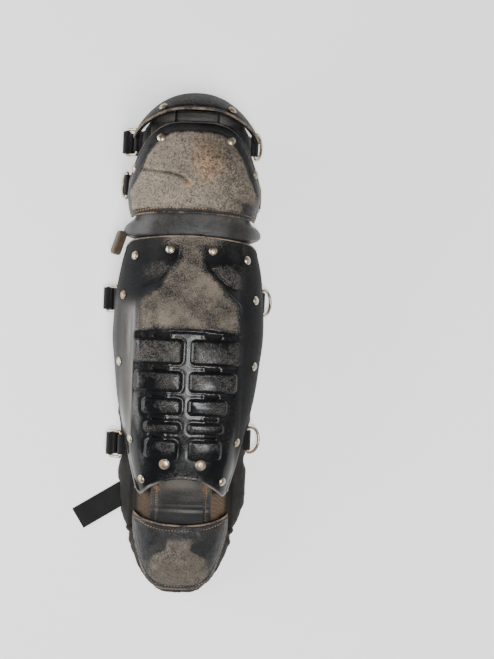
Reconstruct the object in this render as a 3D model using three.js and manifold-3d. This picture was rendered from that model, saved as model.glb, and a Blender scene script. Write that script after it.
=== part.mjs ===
// Catcher leg guard, lying face up: thigh plate, knee cap, shin shell, ankle tab and toe cap
// over padded arches, with webbing keepers, metal rings and straps. Millimetres, +Z up,
// +Y towards the thigh. The floor is z = 0.

import * as THREE from 'three';
import { mergeVertices } from 'three/addons/utils/BufferGeometryUtils.js';
import Module from 'manifold-3d';

const wasm = await Module();
wasm.setup();

// Walls and gaps
const shellWall = 3;
const padWall = 9;
const tabWall = 2.4;
const seat = 0.3;

// Shin shell
const shinLength = 256;
const shinHalfWidth = 81;
const shinCrown = 88;
const shinEdge = 22;
const reliefHeight = 3.6;

// Shin pad, with the ankle wings
const shinPadTop = 121;
const shinPadBottom = 190;
const shinPadHalfWidth = 75;

// Knee band, knee cap and knee pad
const bandGap = 23;
const bandHalfWidth = 76;
const bandTuck = 4;
const kneeLength = 95;
const kneeHalfWidth = 69;
const kneeCrown = 100;
const kneeEdge = 50;
const kneeBottomBow = 3;
const kneePadHalfWidth = 66;
const kneePadInset = 5;
const kneePadDrop = 10;
const kneePadRise = 12;
const kneePadShort = 29;

// Thigh plate and thigh pad
const thighGap = 11;
const thighLength = 25;
const thighHalfWidth = 66;
const thighCrown = 97;
const thighEdge = 44;

// Tabs between thigh plate and knee cap
const tabWidth = 25;
const tabSpacing = 35.5;
const middleTabWidth = 45;
const tabTuck = 20;
const middleTabTuck = 8;
const middleTabDrop = 2.5;
const tabReach = 2;

// Ankle tab and toe
const ankleLength = 53;
const ankleHalfWidth = 33;
const ankleCrown = 64;
const ankleTuckTop = 7;
const ankleTuckBottom = 9;
const toeLength = 75;
const toeHalfWidth = 52;
const toeCrown = 49;
const toeEdge = 18;
const toePadLength = 72;
const toePadHalfWidth = 57;

// Hardware
const rivetRadius = 4.7;
const domeRadius = 5.8;
const rivetHeight = 1.7;
const strapWidth = 25;
const strapThickness = 2;
const wireRadius = 1.6;
const ringWidth = 31;
const ringDepth = 19;
const keeperWidth = 22;
const keeperThickness = 4;
const foldWall = 1.4;
const tanKeeperLength = 18;
const tanKeeperSet = 4.4;
const tanKeeperBelow = 6;
const tanKeeperHeight = 19;
const thighRivetInset = 3;
const hookLength = 15;
const hookWall = 1.8;
const hookSide = 2.4;
const hookBar = 1.5;
const tongueWidth = 8;
const hookReach = 22;
const tailLength = 137;
const tailAngle = 0.565;

// Places worked out from the sizes
const shinTop = shinLength / 2;
const shinBottom = -shinLength / 2;
const kneeBottom = shinTop + bandGap;
const kneeTop = kneeBottom + kneeLength;
const thighBottom = kneeTop + thighGap;
const thighTop = thighBottom + thighLength;
const toeTop = shinBottom - ankleLength;
const toeBottom = toeTop - toeLength;
const kneePadTop = kneeTop - kneePadShort;

const material = (color, roughness, metalness = 0) =>
  new THREE.MeshStandardMaterial({ color, roughness, metalness });
const plastic = material(0x17181a, 0.35);
const scuffed = material(0x4d463f, 0.7);
const vinyl = material(0x242424, 0.6);
const padding = material(0x1d1b1a, 0.85);
const webbing = material(0x141414, 0.9);
const tanWebbing = material(0x6d5238, 0.95);
const nickel = material(0xb9b4a8, 0.3, 1);

const guard = new THREE.Group();

function add(name, geometry, finish) {
  const mesh = new THREE.Mesh(geometry, finish);
  mesh.name = name;
  guard.add(mesh);
  return mesh;
}

// A smooth curve through the rows of a table: column `at` against column `key`
function curve(rows, at, key) {
  const last = rows.length - 1;
  const slope = (i) => {
    const a = Math.max(0, i - 1);
    const b = Math.min(last, i + 1);
    return (rows[b][key] - rows[a][key]) / (rows[b][at] - rows[a][at]);
  };
  return (x) => {
    if (x <= rows[0][at]) return rows[0][key];
    if (x >= rows[last][at]) return rows[last][key];
    const i = rows.findIndex((row, k) => k < last && x <= rows[k + 1][at]);
    const span = rows[i + 1][at] - rows[i][at];
    const t = (x - rows[i][at]) / span;
    const rise = rows[i + 1][key] - rows[i][key];
    const bow = t * (1 - t);
    const left = slope(i) * span - rise;
    const right = rise - slope(i + 1) * span;
    return rows[i][key] + rise * t + bow * (left * (1 - t) + right * t);
  };
}

const mix = (a, b, t) => a + (b - a) * t;
const clamp01 = (t) => Math.min(1, Math.max(0, t));

// Height share of a superellipse at a share s of its half width
const arcHeight = (s, power) => (1 - Math.min(1, Math.abs(s)) ** power) ** (1 / power);

// An arched surface: u runs across from -1 to 1, v along from low to high
function arch({ halfWidth, crown, edge, power, low, high }) {
  const at = (x, y) => {
    const z = mix(edge(y), crown(y), arcHeight(x / halfWidth(y), power));
    return new THREE.Vector3(x, y, z);
  };
  const point = (u, v) => {
    const s = Math.sign(u) * Math.abs(Math.sin((u * Math.PI) / 2)) ** (2 / power);
    const y = mix(low(Math.abs(s)), high(Math.abs(s)), v);
    const z = mix(edge(y), crown(y), Math.cos((u * Math.PI) / 2) ** (2 / power));
    return new THREE.Vector3(s * halfWidth(y), y, z);
  };
  return { at, point };
}

// The same arch carried on by a skirt to the floor, skirt(y) wide there
const skirtShare = 0.7;
function skirted(form, skirt, bulge) {
  const inner = arch(form);
  const point = (u, v) => {
    const side = Math.sign(u);
    if (Math.abs(u) <= skirtShare) return inner.point(u / skirtShare, v);
    const t = (Math.abs(u) - skirtShare) / (1 - skirtShare);
    const top = inner.point(side, v);
    const x = mix(Math.abs(top.x), skirt(top.y), t) + bulge * Math.sin(Math.PI * t);
    return new THREE.Vector3(side * x, top.y, top.z * (1 - t));
  };
  // Half width of the outside at a height z
  const side = (y, z) => {
    const t = 1 - z / form.edge(y);
    if (t < 0) return form.halfWidth(y) + bulge;
    return mix(form.halfWidth(y), skirt(y), t) + bulge * Math.sin(Math.PI * t);
  };
  return { at: inner.at, point, side };
}

function normalOf(point, u, v) {
  const step = 0.004;
  const u0 = Math.max(-1, u - step);
  const u1 = Math.min(1, u + step);
  const v0 = Math.max(0, v - step);
  const v1 = Math.min(1, v + step);
  const across = point(u1, v).sub(point(u0, v));
  const along = point(u, v1).sub(point(u, v0));
  return across.cross(along).normalize();
}

// A closed wall between two offsets of a surface; a rim on the floor ends at z = 0
const rimLift = 1.5;
function wall(point, columns, rows, outside, inside, onFloor = false) {
  const layers = [outside, -inside].map((offset) => {
    const layer = [];
    for (let j = 0; j <= rows; j++) {
      for (let i = 0; i <= columns; i++) {
        const u = (2 * i) / columns - 1;
        const v = j / rows;
        const shift = typeof offset === 'function' ? offset(point(u, v)) : offset;
        const place = point(u, v).addScaledVector(normalOf(point, u, v), shift);
        if (onFloor) place.z = i === 0 || i === columns ? 0 : Math.max(rimLift, place.z);
        layer.push(place);
      }
    }
    return layer;
  });
  const size = (columns + 1) * (rows + 1);
  const index = [];
  const quad = (a, b, c, d) => index.push(a, b, c, a, c, d);
  const id = (i, j) => j * (columns + 1) + i;
  for (let j = 0; j < rows; j++) {
    for (let i = 0; i < columns; i++) {
      quad(id(i, j), id(i + 1, j), id(i + 1, j + 1), id(i, j + 1));
      quad(size + id(i, j + 1), size + id(i + 1, j + 1), size + id(i + 1, j), size + id(i, j));
    }
    quad(id(0, j), id(0, j + 1), size + id(0, j + 1), size + id(0, j));
    quad(id(columns, j + 1), id(columns, j), size + id(columns, j), size + id(columns, j + 1));
  }
  for (let i = 0; i < columns; i++) {
    quad(id(i + 1, 0), id(i, 0), size + id(i, 0), size + id(i + 1, 0));
    quad(id(i, rows), id(i + 1, rows), size + id(i + 1, rows), size + id(i, rows));
  }
  const geometry = new THREE.BufferGeometry().setFromPoints([...layers[0], ...layers[1]]);
  geometry.setIndex(index);
  return geometry;
}

function solid(geometry) {
  const plain = geometry.clone();
  plain.deleteAttribute('normal');
  plain.deleteAttribute('uv');
  const merged = mergeVertices(plain, 1e-4);
  return new wasm.Manifold(new wasm.Mesh({
    numProp: 3,
    vertProperties: new Float32Array(merged.attributes.position.array),
    triVerts: new Uint32Array(merged.index.array),
  }));
}

function geometryOf(body) {
  const mesh = body.getMesh();
  const geometry = new THREE.BufferGeometry();
  geometry.setAttribute('position', new THREE.BufferAttribute(new Float32Array(mesh.vertProperties), 3));
  geometry.setIndex(new THREE.BufferAttribute(new Uint32Array(mesh.triVerts), 1));
  return geometry;
}

// An upright column over an outline, high enough to cut any shell
const columnHeight = 150;
function column(outline, segments = 3) {
  const geometry = new THREE.ExtrudeGeometry(outline, {
    depth: columnHeight,
    bevelEnabled: false,
    curveSegments: segments,
  });
  return solid(geometry);
}

function roundedBox(x0, x1, y0, y1, radius) {
  const shape = new THREE.Shape();
  const r = Math.min(radius, (x1 - x0) / 2 - 0.01, (y1 - y0) / 2 - 0.01);
  shape.absarc(x1 - r, y0 + r, r, -Math.PI / 2, 0);
  shape.absarc(x1 - r, y1 - r, r, 0, Math.PI / 2);
  shape.absarc(x0 + r, y1 - r, r, Math.PI / 2, Math.PI);
  shape.absarc(x0 + r, y0 + r, r, Math.PI, Math.PI * 1.5);
  return shape;
}

// Shin shell. Columns: y as a share of the shell's length from its middle; the others are
// shares of its half width, crown and edge height
const shinRows = [
  { at: -0.6, width: 0.53, crown: 0.7, edge: 1.4 },
  { at: -0.57, width: 0.593, crown: 0.72, edge: 1.35 },
  { at: -0.515, width: 0.648, crown: 0.77, edge: 1.3 },
  { at: -0.45, width: 0.705, crown: 0.82, edge: 1.2 },
  { at: -0.38, width: 0.753, crown: 0.86, edge: 1.15 },
  { at: -0.29, width: 0.827, crown: 0.915, edge: 1.05 },
  { at: -0.17, width: 0.907, crown: 0.96, edge: 1 },
  { at: 0.0, width: 0.975, crown: 0.995, edge: 1 },
  { at: 0.09, width: 1, crown: 1, edge: 1 },
  { at: 0.2, width: 0.99, crown: 0.99, edge: 1 },
  { at: 0.33, width: 0.95, crown: 0.96, edge: 1.05 },
  { at: 0.43, width: 0.885, crown: 0.925, edge: 1.2 },
  { at: 0.5, width: 0.8, crown: 0.91, edge: 1.3 },
];
const shinCurve = (key, size) => {
  const share = curve(shinRows, 'at', key);
  return (y) => size * share(y / shinLength);
};
const shinPower = 2.7;
const shin = arch({
  halfWidth: shinCurve('width', shinHalfWidth),
  crown: shinCurve('crown', shinCrown),
  edge: shinCurve('edge', shinEdge),
  power: shinPower,
  low: (s) => shinBottom * (1 + 0.19 * s ** 2),
  high: (s) => shinTop * (1 - 0.045 * s ** 2),
});

// Raised pads beside the spine: middle and length along the shell as shares of its length,
// inner and outer end as shares of its half width
const spinePads = [
  { at: 0.026, length: 0.095, inner: 0.064, outer: 0.7 },
  { at: -0.095, length: 0.077, inner: 0.06, outer: 0.66 },
  { at: -0.197, length: 0.06, inner: 0.055, outer: 0.54 },
  { at: -0.285, length: 0.039, inner: 0.055, outer: 0.51 },
  { at: -0.378, length: 0.08, inner: 0.086, outer: 0.49 },
];
// Vents cut through above each pad: the same shares
const vents = [
  { at: 0.093, length: 0.014, inner: 0.235, outer: 0.432 },
  { at: -0.042, length: 0.01, inner: 0.252, outer: 0.426 },
  { at: -0.153, length: 0.009, inner: 0.267, outer: 0.423 },
  { at: -0.247, length: 0.009, inner: 0.272, outer: 0.416 },
  { at: -0.323, length: 0.009, inner: 0.284, outer: 0.415 },
];
// Raised three-cornered field on each side of the top
const cheek = [
  { x: 0.68, y: 0.396 },
  { x: 0.32, y: 0.402 },
  { x: 0.28, y: 0.378 },
  { x: 0.315, y: 0.351 },
  { x: 0.44, y: 0.314 },
  { x: 0.55, y: 0.291 },
  { x: 0.68, y: 0.28 },
];

function padOutline(row, side, radius) {
  const a = row.inner * shinHalfWidth;
  const b = row.outer * shinHalfWidth;
  const y0 = (row.at - row.length / 2) * shinLength;
  const y1 = (row.at + row.length / 2) * shinLength;
  return side > 0 ? roundedBox(a, b, y0, y1, radius) : roundedBox(-b, -a, y0, y1, radius);
}

function cheekOutline(side) {
  const points = cheek.map((p) => new THREE.Vector2(side * p.x * shinHalfWidth, p.y * shinLength));
  return new THREE.Shape(side > 0 ? points : points.reverse());
}

// Relief fades away towards the side flanges and down the ankle end
const reliefAt = (p) => {
  const aside = clamp01((0.74 - Math.abs(p.x) / shinHalfWidth) / 0.25);
  const ending = clamp01((p.y / shinLength + 0.42) / 0.06);
  return 0.3 + reliefHeight * aside * ending;
};

const shinColumns = 18;
const shinSteps = 18;
function shinShell() {
  let shell = solid(wall(shin.point, shinColumns, shinSteps, 0, shellWall));
  const raised = solid(wall(shin.point, shinColumns, shinSteps, reliefAt, shellWall / 2));
  const padRadius = 3;
  for (const side of [-1, 1]) {
    for (const row of spinePads) {
      shell = shell.add(raised.intersect(column(padOutline(row, side, padRadius), 1)));
    }
    shell = shell.add(raised.intersect(column(cheekOutline(side))));
    for (const row of vents) {
      shell = shell.subtract(column(padOutline(row, side, row.length * shinLength), 1));
    }
  }
  return geometryOf(shell);
}
add('shin_shell', shinShell(), plastic);

// Shin pad: an arch under the shell with skirts to the floor, wide at the ankle wings.
// Columns: y as a share of the shin length, width of the arch as a share of the shell's half
// width, crown as a share of the shell's crown, foot as a share of the pad's half width
const shinPadRows = [
  { at: -0.745, width: 0.5, crown: 0.42, edge: 0.85, foot: 0.74 },
  { at: -0.69, width: 0.51, crown: 0.475, edge: 0.95, foot: 0.84 },
  { at: -0.61, width: 0.5, crown: 0.565, edge: 1.1, foot: 0.895 },
  { at: -0.53, width: 0.53, crown: 0.645, edge: 1.1, foot: 0.905 },
  { at: -0.46, width: 0.6, crown: 0.69, edge: 1.0, foot: 0.915 },
  { at: -0.38, width: 0.68, crown: 0.78, edge: 1.0, foot: 0.945 },
  { at: -0.29, width: 0.76, crown: 0.87, edge: 1.0, foot: 0.985 },
  { at: -0.17, width: 0.84, crown: 0.915, edge: 0.9, foot: 1.0 },
  { at: 0.0, width: 0.91, crown: 0.95, edge: 0.9, foot: 0.97 },
  { at: 0.2, width: 0.92, crown: 0.945, edge: 0.9, foot: 0.96 },
  { at: 0.33, width: 0.88, crown: 0.915, edge: 0.9, foot: 0.96 },
  { at: 0.43, width: 0.8, crown: 0.875, edge: 1.0, foot: 0.95 },
  { at: 0.5, width: 0.72, crown: 0.86, edge: 1.1, foot: 0.93 },
];
const padCurve = (key, size) => {
  const share = curve(shinPadRows, 'at', key);
  return (y) => size * share(y / shinLength);
};
const shinPadForm = {
  halfWidth: padCurve('width', shinHalfWidth),
  crown: padCurve('crown', shinCrown),
  edge: padCurve('edge', shinEdge),
  power: shinPower,
  low: () => -shinPadBottom,
  high: () => shinPadTop,
};
const padBulge = 1.5;
const shinPad = skirted(shinPadForm, padCurve('foot', shinPadHalfWidth), padBulge);

// Strap tunnels under the left rim, where the straps run in along the floor
const tunnelClearance = strapThickness + seat;
function tunnel(y, length, x) {
  const box = new THREE.BoxGeometry(length, strapWidth + 2 * seat, 2 * tunnelClearance);
  box.translate(x, y, 0);
  return solid(box);
}

// Knee cap. Columns: y as a share of the cap's length from its bottom edge
const kneeRows = [
  { at: -0.05, width: 0.94, crown: 0.915 },
  { at: 0.15, width: 1, crown: 0.96 },
  { at: 0.45, width: 1, crown: 1 },
  { at: 0.75, width: 1, crown: 0.955 },
  { at: 1, width: 1, crown: 0.85 },
];
const kneeCurve = (key, size) => {
  const share = curve(kneeRows, 'at', key);
  return (y) => size * share((y - kneeBottom) / kneeLength);
};
const kneePower = 2.4;
const knee = arch({
  halfWidth: kneeCurve('width', kneeHalfWidth),
  crown: kneeCurve('crown', kneeCrown),
  edge: () => kneeEdge,
  power: kneePower,
  low: (s) => kneeBottom - kneeBottomBow * s ** 2,
  high: (s) => kneeTop - 0.68 * kneeLength * s ** 3.6,
});
add('knee_cap', wall(knee.point, 16, 10, 0, shellWall), scuffed);

// Knee pad: narrower and lower than the cap by the cap's wall
const kneePadForm = {
  halfWidth: () => kneePadHalfWidth - kneePadInset,
  crown: (y) => knee.at(0, y).z - shellWall - seat,
  edge: () => kneeEdge - kneePadDrop,
  power: kneePower,
  low: () => kneeBottom + kneePadRise,
  high: () => kneePadTop - seat,
};
const kneePad = skirted(kneePadForm, () => kneePadHalfWidth, padBulge);
add('knee_pad', wall(kneePad.point, 20, 5, 0, padWall, true), padding);

// Knee band: the flexible strip from under the shell to under the knee cap.
// Columns: y as a share of the way from bandTuck under the shell to bandTuck under the cap
const bandLow = shinTop - bandTuck;
const bandHigh = kneeBottom + bandTuck;
const bandRows = [
  { at: 0, width: 0.76, edge: 0.44 },
  { at: 0.15, width: 0.93, edge: 0.3 },
  { at: 0.32, width: 1, edge: 0.17 },
  { at: 0.55, width: 0.97, edge: 0.2 },
  { at: 0.74, width: 0.84, edge: 0.4 },
  { at: 1, width: 0.8, edge: 0.52 },
];
const bandShare = (y) => (y - bandLow) / (bandHigh - bandLow);
const bandWidthShare = curve(bandRows, 'at', 'width');
const bandEdgeShare = curve(bandRows, 'at', 'edge');
const bandEase = 1.6;
const bandCrownLow = shin.at(0, bandLow).z - shellWall - seat - bandEase;
const bandCrownHigh = knee.at(0, bandHigh).z - shellWall - seat - bandEase;
const band = arch({
  halfWidth: (y) => bandHalfWidth * bandWidthShare(bandShare(y)),
  crown: (y) => mix(bandCrownLow, bandCrownHigh, bandShare(y)),
  edge: (y) => shinCrown * bandEdgeShare(bandShare(y)),
  power: 2.4,
  low: () => bandLow,
  high: () => bandHigh,
});
add('knee_band', wall(band.point, 16, 5, 0, tabWall), vinyl);

// Thigh plate: its lower edge stands high, the rest falls away to the thigh
const thighPower = 2.4;
const thighLow = (a) => thighBottom - 0.92 * thighLength * a ** 2.6;
const thighHigh = (a) => thighTop - 1.44 * thighLength * a ** 2.3;
function thighSection(lift, v) {
  const low = mix(thighEdge, thighCrown, lift);
  const high = mix(thighEdge * 0.8, thighCrown * 0.62, lift);
  return mix(low, high, v) + 0.06 * thighCrown * Math.sin(Math.PI * v) * lift;
}
const thighPoint = (u, v) => {
  const s = Math.sign(u) * Math.abs(Math.sin((u * Math.PI) / 2)) ** (2 / thighPower);
  const a = Math.abs(s);
  const lift = Math.cos((u * Math.PI) / 2) ** (2 / thighPower);
  const x = s * thighHalfWidth * mix(1, 0.97, v);
  return new THREE.Vector3(x, mix(thighLow(a), thighHigh(a), v), thighSection(lift, v));
};
add('thigh_plate', wall(thighPoint, 18, 5, 0, shellWall), plastic);

// Thigh pad: fills the space under the plate and the tabs
const thighPadRows = [
  { at: 0, width: 0.87, crown: 0.76 },
  { at: 0.3, width: 0.86, crown: 0.715 },
  { at: 0.55, width: 0.85, crown: 0.715 },
  { at: 0.8, width: 0.83, crown: 0.63 },
  { at: 1, width: 0.76, crown: 0.46 },
];
const thighPadHigh = thighTop - 2;
const thighPadShare = (y) => (y - kneePadTop) / (thighPadHigh - kneePadTop);
const thighPadWidth = curve(thighPadRows, 'at', 'width');
const thighPadCrown = curve(thighPadRows, 'at', 'crown');
const thighPadForm = {
  halfWidth: (y) => thighHalfWidth * thighPadWidth(thighPadShare(y)),
  crown: (y) => thighCrown * thighPadCrown(thighPadShare(y)),
  edge: () => thighEdge * 0.62,
  power: thighPower,
  low: () => kneePadTop + seat,
  high: (s) => thighPadHigh - 1.3 * thighLength * s ** 2.3,
};
const thighFoot = (y) => thighHalfWidth * (thighPadWidth(thighPadShare(y)) + 0.06);
const thighPad = skirted(thighPadForm, thighFoot, padBulge);

// Tabs that carry the thigh plate on the knee cap: they lie under both
function thighHeight(x, y) {
  const a = Math.min(1, Math.abs(x) / thighHalfWidth);
  const v = clamp01((y - thighLow(a)) / (thighHigh(a) - thighLow(a)));
  return thighSection(arcHeight(a, thighPower), v);
}
function tab(middle, width, tuck, drop) {
  const underKnee = shellWall * 1.3 + 3 * seat + drop;
  const underPlate = shellWall * 4.7 + seat + drop;
  const bendLow = kneeTop - 2 * shellWall;
  const bendHigh = thighBottom - 1.7 * shellWall;
  const point = (u, v) => {
    const x = middle + (u * width) / 2;
    const y = mix(kneeTop - tuck, thighBottom + tabReach, v);
    const reach = clamp01((y - bendLow) / (bendHigh - bendLow));
    const ease = reach * reach * (3 - 2 * reach);
    const below = knee.at(x, Math.min(y, kneeTop)).z;
    const above = thighHeight(x, Math.max(y, bendHigh - shellWall));
    return new THREE.Vector3(x, y, mix(below - underKnee, above - underPlate, ease));
  };
  return wall(point, 4, 6, 0, tabWall);
}
add('thigh_tab_left', tab(-tabSpacing, tabWidth, tabTuck, 0), vinyl);
add('thigh_tab_right', tab(tabSpacing, tabWidth, tabTuck, 0), vinyl);
add('thigh_tab_middle', tab(0, middleTabWidth, middleTabTuck, middleTabDrop), vinyl);

// Ankle tab: from under the shell to under the toe cap
const ankleRows = [
  { at: 0, drop: 1 },
  { at: 0.2, drop: 0.965 },
  { at: 0.5, drop: 0.84 },
  { at: 0.8, drop: 0.715 },
  { at: 1, drop: 0.645 },
];
const ankleLow = toeTop - ankleTuckBottom;
const ankleHigh = shinBottom + ankleTuckTop;
const ankleDrop = curve(ankleRows, 'at', 'drop');
const ankleHeight = (y) => ankleCrown * ankleDrop((ankleHigh - y) / (ankleHigh - ankleLow));
const ankleSide = 0.08;
const anklePoint = (u, v) => {
  const y = mix(ankleLow, ankleHigh, v);
  const z = ankleHeight(y) - ankleSide * ankleCrown * u * u;
  return new THREE.Vector3(u * ankleHalfWidth, y, z);
};
add('ankle_tab', wall(anklePoint, 8, 8, 0, tabWall), vinyl);

// Toe cap and toe pad: shields that slope down to the toe
function shield({ halfWidth, crown, edge, power, fall, low, high }) {
  return (u, v) => {
    const s = Math.sign(u) * Math.abs(Math.sin((u * Math.PI) / 2)) ** (2 / power);
    const a = Math.abs(s);
    const lift = Math.cos((u * Math.PI) / 2) ** (2 / power);
    const z = mix(edge, fall(1 - v) * crown, lift);
    return new THREE.Vector3(s * halfWidth, mix(low(a), high(a), v), z);
  };
}
const toeCapPoint = shield({
  halfWidth: toeHalfWidth,
  crown: toeCrown,
  edge: toeEdge,
  power: 2.4,
  fall: (t) => 1 - 0.6 * t ** 1.8,
  high: (a) => toeTop + 0.13 * toeLength * a ** 2.5,
  low: (a) => toeBottom + 0.88 * toeLength * a ** 4,
});
add('toe_cap', wall(toeCapPoint, 14, 8, 0, shellWall), scuffed);
const toePadTop = -shinPadBottom - 2 * seat;
const toePadBottom = toePadTop - toePadLength;
const toePadPoint = shield({
  halfWidth: toePadHalfWidth,
  crown: toeCrown - shellWall - tabWall - 18 * seat,
  edge: 0,
  power: 1.85,
  fall: (t) => Math.max(0, 1 - t ** 1.4) ** 0.75,
  high: () => toePadTop,
  low: (a) => toePadBottom + 0.94 * toePadLength * a ** 3,
});
add('toe_pad', wall(toePadPoint, 14, 7, 0, padWall, true), padding);

// Rivets: low domes on the shells
function dome(radius, height) {
  const profile = [
    new THREE.Vector2(0, 0),
    new THREE.Vector2(radius, 0),
    new THREE.Vector2(radius * 0.7, height * 0.85),
    new THREE.Vector2(0, height),
  ];
  const geometry = new THREE.LatheGeometry(profile, 9);
  geometry.rotateX(Math.PI / 2);
  return geometry;
}
function rivet(name, radius, height, place, lift) {
  const step = 0.5;
  const base = place(0, 0);
  const across = place(step, 0).sub(place(-step, 0));
  const along = place(0, step).sub(place(0, -step));
  const normal = across.cross(along).normalize();
  const mesh = add(name, dome(radius, height), nickel);
  mesh.quaternion.setFromUnitVectors(new THREE.Vector3(0, 0, 1), normal);
  mesh.position.copy(base.addScaledVector(normal, lift));
}
const rivetLift = 0.75;
const smoothLift = 0.45;
// Columns: place across and along as shares of the shell's half width and length
const shinRivets = [
  { x: 0.275, y: 0.443, r: rivetRadius },
  { x: 0.73, y: 0.414, r: rivetRadius },
  { x: 0.865, y: 0.25, r: rivetRadius },
  { x: 0.885, y: -0.025, r: rivetRadius },
  { x: 0.7, y: -0.345, r: rivetRadius },
  { x: 0.53, y: -0.51, r: rivetRadius },
  { x: 0.235, y: -0.438, r: domeRadius },
];
const kneeRivets = [
  { x: 0.52, y: 0.8, r: rivetRadius },
  { x: 0.9, y: 0.47, r: rivetRadius },
];
const sides = [['left', -1], ['right', 1]];
for (const [word, side] of sides) {
  shinRivets.forEach((row, i) => {
    const place = (dx, dy) => shin.at(side * row.x * shinHalfWidth + dx, row.y * shinLength + dy);
    rivet(`shin_rivet_${word}_${i + 1}`, row.r, rivetHeight, place, rivetLift);
  });
  kneeRivets.forEach((row, i) => {
    const place = (dx, dy) => knee.at(side * row.x * kneeHalfWidth + dx, kneeBottom + row.y * kneeLength + dy);
    rivet(`knee_rivet_${word}_${i + 1}`, row.r, rivetHeight, place, smoothLift);
  });
  const place = (dx, dy) => {
    const x = side * tabSpacing + dx;
    const y = thighBottom + thighRivetInset + dy;
    return new THREE.Vector3(x, y, thighHeight(x, y));
  };
  rivet(`thigh_rivet_${word}`, rivetRadius, rivetHeight, place, smoothLift);
}

// Rings: a wire swept round a closed flat path, bar along Y at the origin, body along +X
function sweepClosed(path, radius, spokes) {
  const count = path.length;
  const points = [];
  const index = [];
  path.forEach((p, k) => {
    const before = path[(k + count - 1) % count];
    const after = path[(k + 1) % count];
    const out = new THREE.Vector2(after.y - before.y, before.x - after.x).normalize();
    for (let i = 0; i < spokes; i++) {
      const turn = (2 * Math.PI * i) / spokes;
      const reach = radius * Math.cos(turn);
      points.push(new THREE.Vector3(p.x + out.x * reach, p.y + out.y * reach, radius * Math.sin(turn)));
      const a = k * spokes + i;
      const b = k * spokes + ((i + 1) % spokes);
      const c = ((k + 1) % count) * spokes + ((i + 1) % spokes);
      const d = ((k + 1) % count) * spokes + i;
      index.push(a, c, b, a, d, c);
    }
  });
  const geometry = new THREE.BufferGeometry().setFromPoints(points);
  geometry.setIndex(index);
  return geometry;
}
const wireSides = 5;
const ringCorner = 2.5;
const shortestStep = 0.2;
function ringGeometry(kind) {
  const half = ringWidth / 2 - wireRadius;
  const depth = ringDepth - 2 * wireRadius;
  const bow = half * 0.8;
  const shape = new THREE.Shape();
  if (kind === 'square') {
    shape.absarc(depth - ringCorner, -half + ringCorner, ringCorner, -Math.PI / 2, 0);
    shape.absarc(depth - ringCorner, half - ringCorner, ringCorner, 0, Math.PI / 2);
  } else {
    shape.absellipse(depth - bow, 0, bow, half, -Math.PI / 2, Math.PI / 2);
  }
  shape.absarc(ringCorner, half - ringCorner, ringCorner, Math.PI / 2, Math.PI);
  shape.absarc(ringCorner, -half + ringCorner, ringCorner, Math.PI, Math.PI * 1.5);
  const path = [];
  for (const p of shape.getPoints(kind === 'square' ? 2 : 3)) {
    const last = path[path.length - 1];
    if (!last || last.distanceTo(p) > shortestStep) path.push(p);
  }
  if (path[0].distanceTo(path[path.length - 1]) < shortestStep) path.pop();
  return sweepClosed(path, wireRadius, wireSides);
}

// Keepers: a folded webbing tab that holds the ring's bar in its loop
const loopInner = wireRadius + seat;
const loopOuter = loopInner + foldWall;
function keeperGeometry(length, width) {
  const shape = new THREE.Shape();
  const half = keeperThickness / 2;
  const meet = Math.asin(half / loopOuter);
  shape.moveTo(-length, -half);
  shape.lineTo(-loopOuter * Math.cos(meet), -half);
  shape.absarc(0, 0, loopOuter, meet - Math.PI, Math.PI - meet);
  shape.lineTo(-length, half);
  const hole = new THREE.Path();
  hole.absarc(0, 0, loopInner, 0, Math.PI * 2, true);
  shape.holes.push(hole);
  const geometry = new THREE.ExtrudeGeometry(shape, { depth: width, bevelEnabled: false, curveSegments: 5 });
  geometry.translate(0, 0, -width / 2);
  geometry.rotateX(Math.PI / 2);
  return geometry;
}

// Places of the hardware. Columns: y and the bar's height z as shares of the shin length and
// crown, wall of the pad that carries it, keeper length, lean of the keeper and of the ring.
// On the thigh, y is measured from where a ring just clears the knee pad
const sideOf = { shin: shinPad.side, knee: kneePad.side, thigh: thighPad.side };
const startOf = { shin: 0, knee: 0, thigh: kneePadTop + ringWidth / 2 };
const hardware = [
  { name: 'left_1', side: -1, on: 'thigh', y: 0.002, z: 0.3, reach: 6, lean: 0.35, ring: 'square', swing: 0.7 },
  { name: 'left_2', side: -1, on: 'knee', y: 0.72, z: 0.34, reach: 9, lean: 0.1, ring: 'round', swing: 1.2 },
  { name: 'left_4', side: -1, on: 'shin', y: 0.238, z: 0.2, reach: 4.5, lean: 0, ring: 'square', swing: 0.75 },
  { name: 'left_5', side: -1, on: 'shin', y: -0.387, z: 0.2, reach: 5.5, lean: 0, ring: 'square', swing: 0.65 },
  { name: 'right_1', side: 1, on: 'thigh', y: 0.002, z: 0.38, reach: 5, lean: 0.5, ring: 'round', swing: 1.1 },
  { name: 'right_2', side: 1, on: 'knee', y: 0.69, z: 0.34, reach: 5, lean: 0.3, ring: 'round', swing: 1.35 },
  { name: 'right_3', side: 1, on: 'shin', y: 0.246, z: 0.2, reach: 4.5, lean: 0, ring: 'round', swing: 0.85 },
  { name: 'right_4', side: 1, on: 'shin', y: -0.348, z: 0.2, reach: 4.5, lean: 0, ring: 'round', swing: 0.6 },
];
const rings = {};
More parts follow.
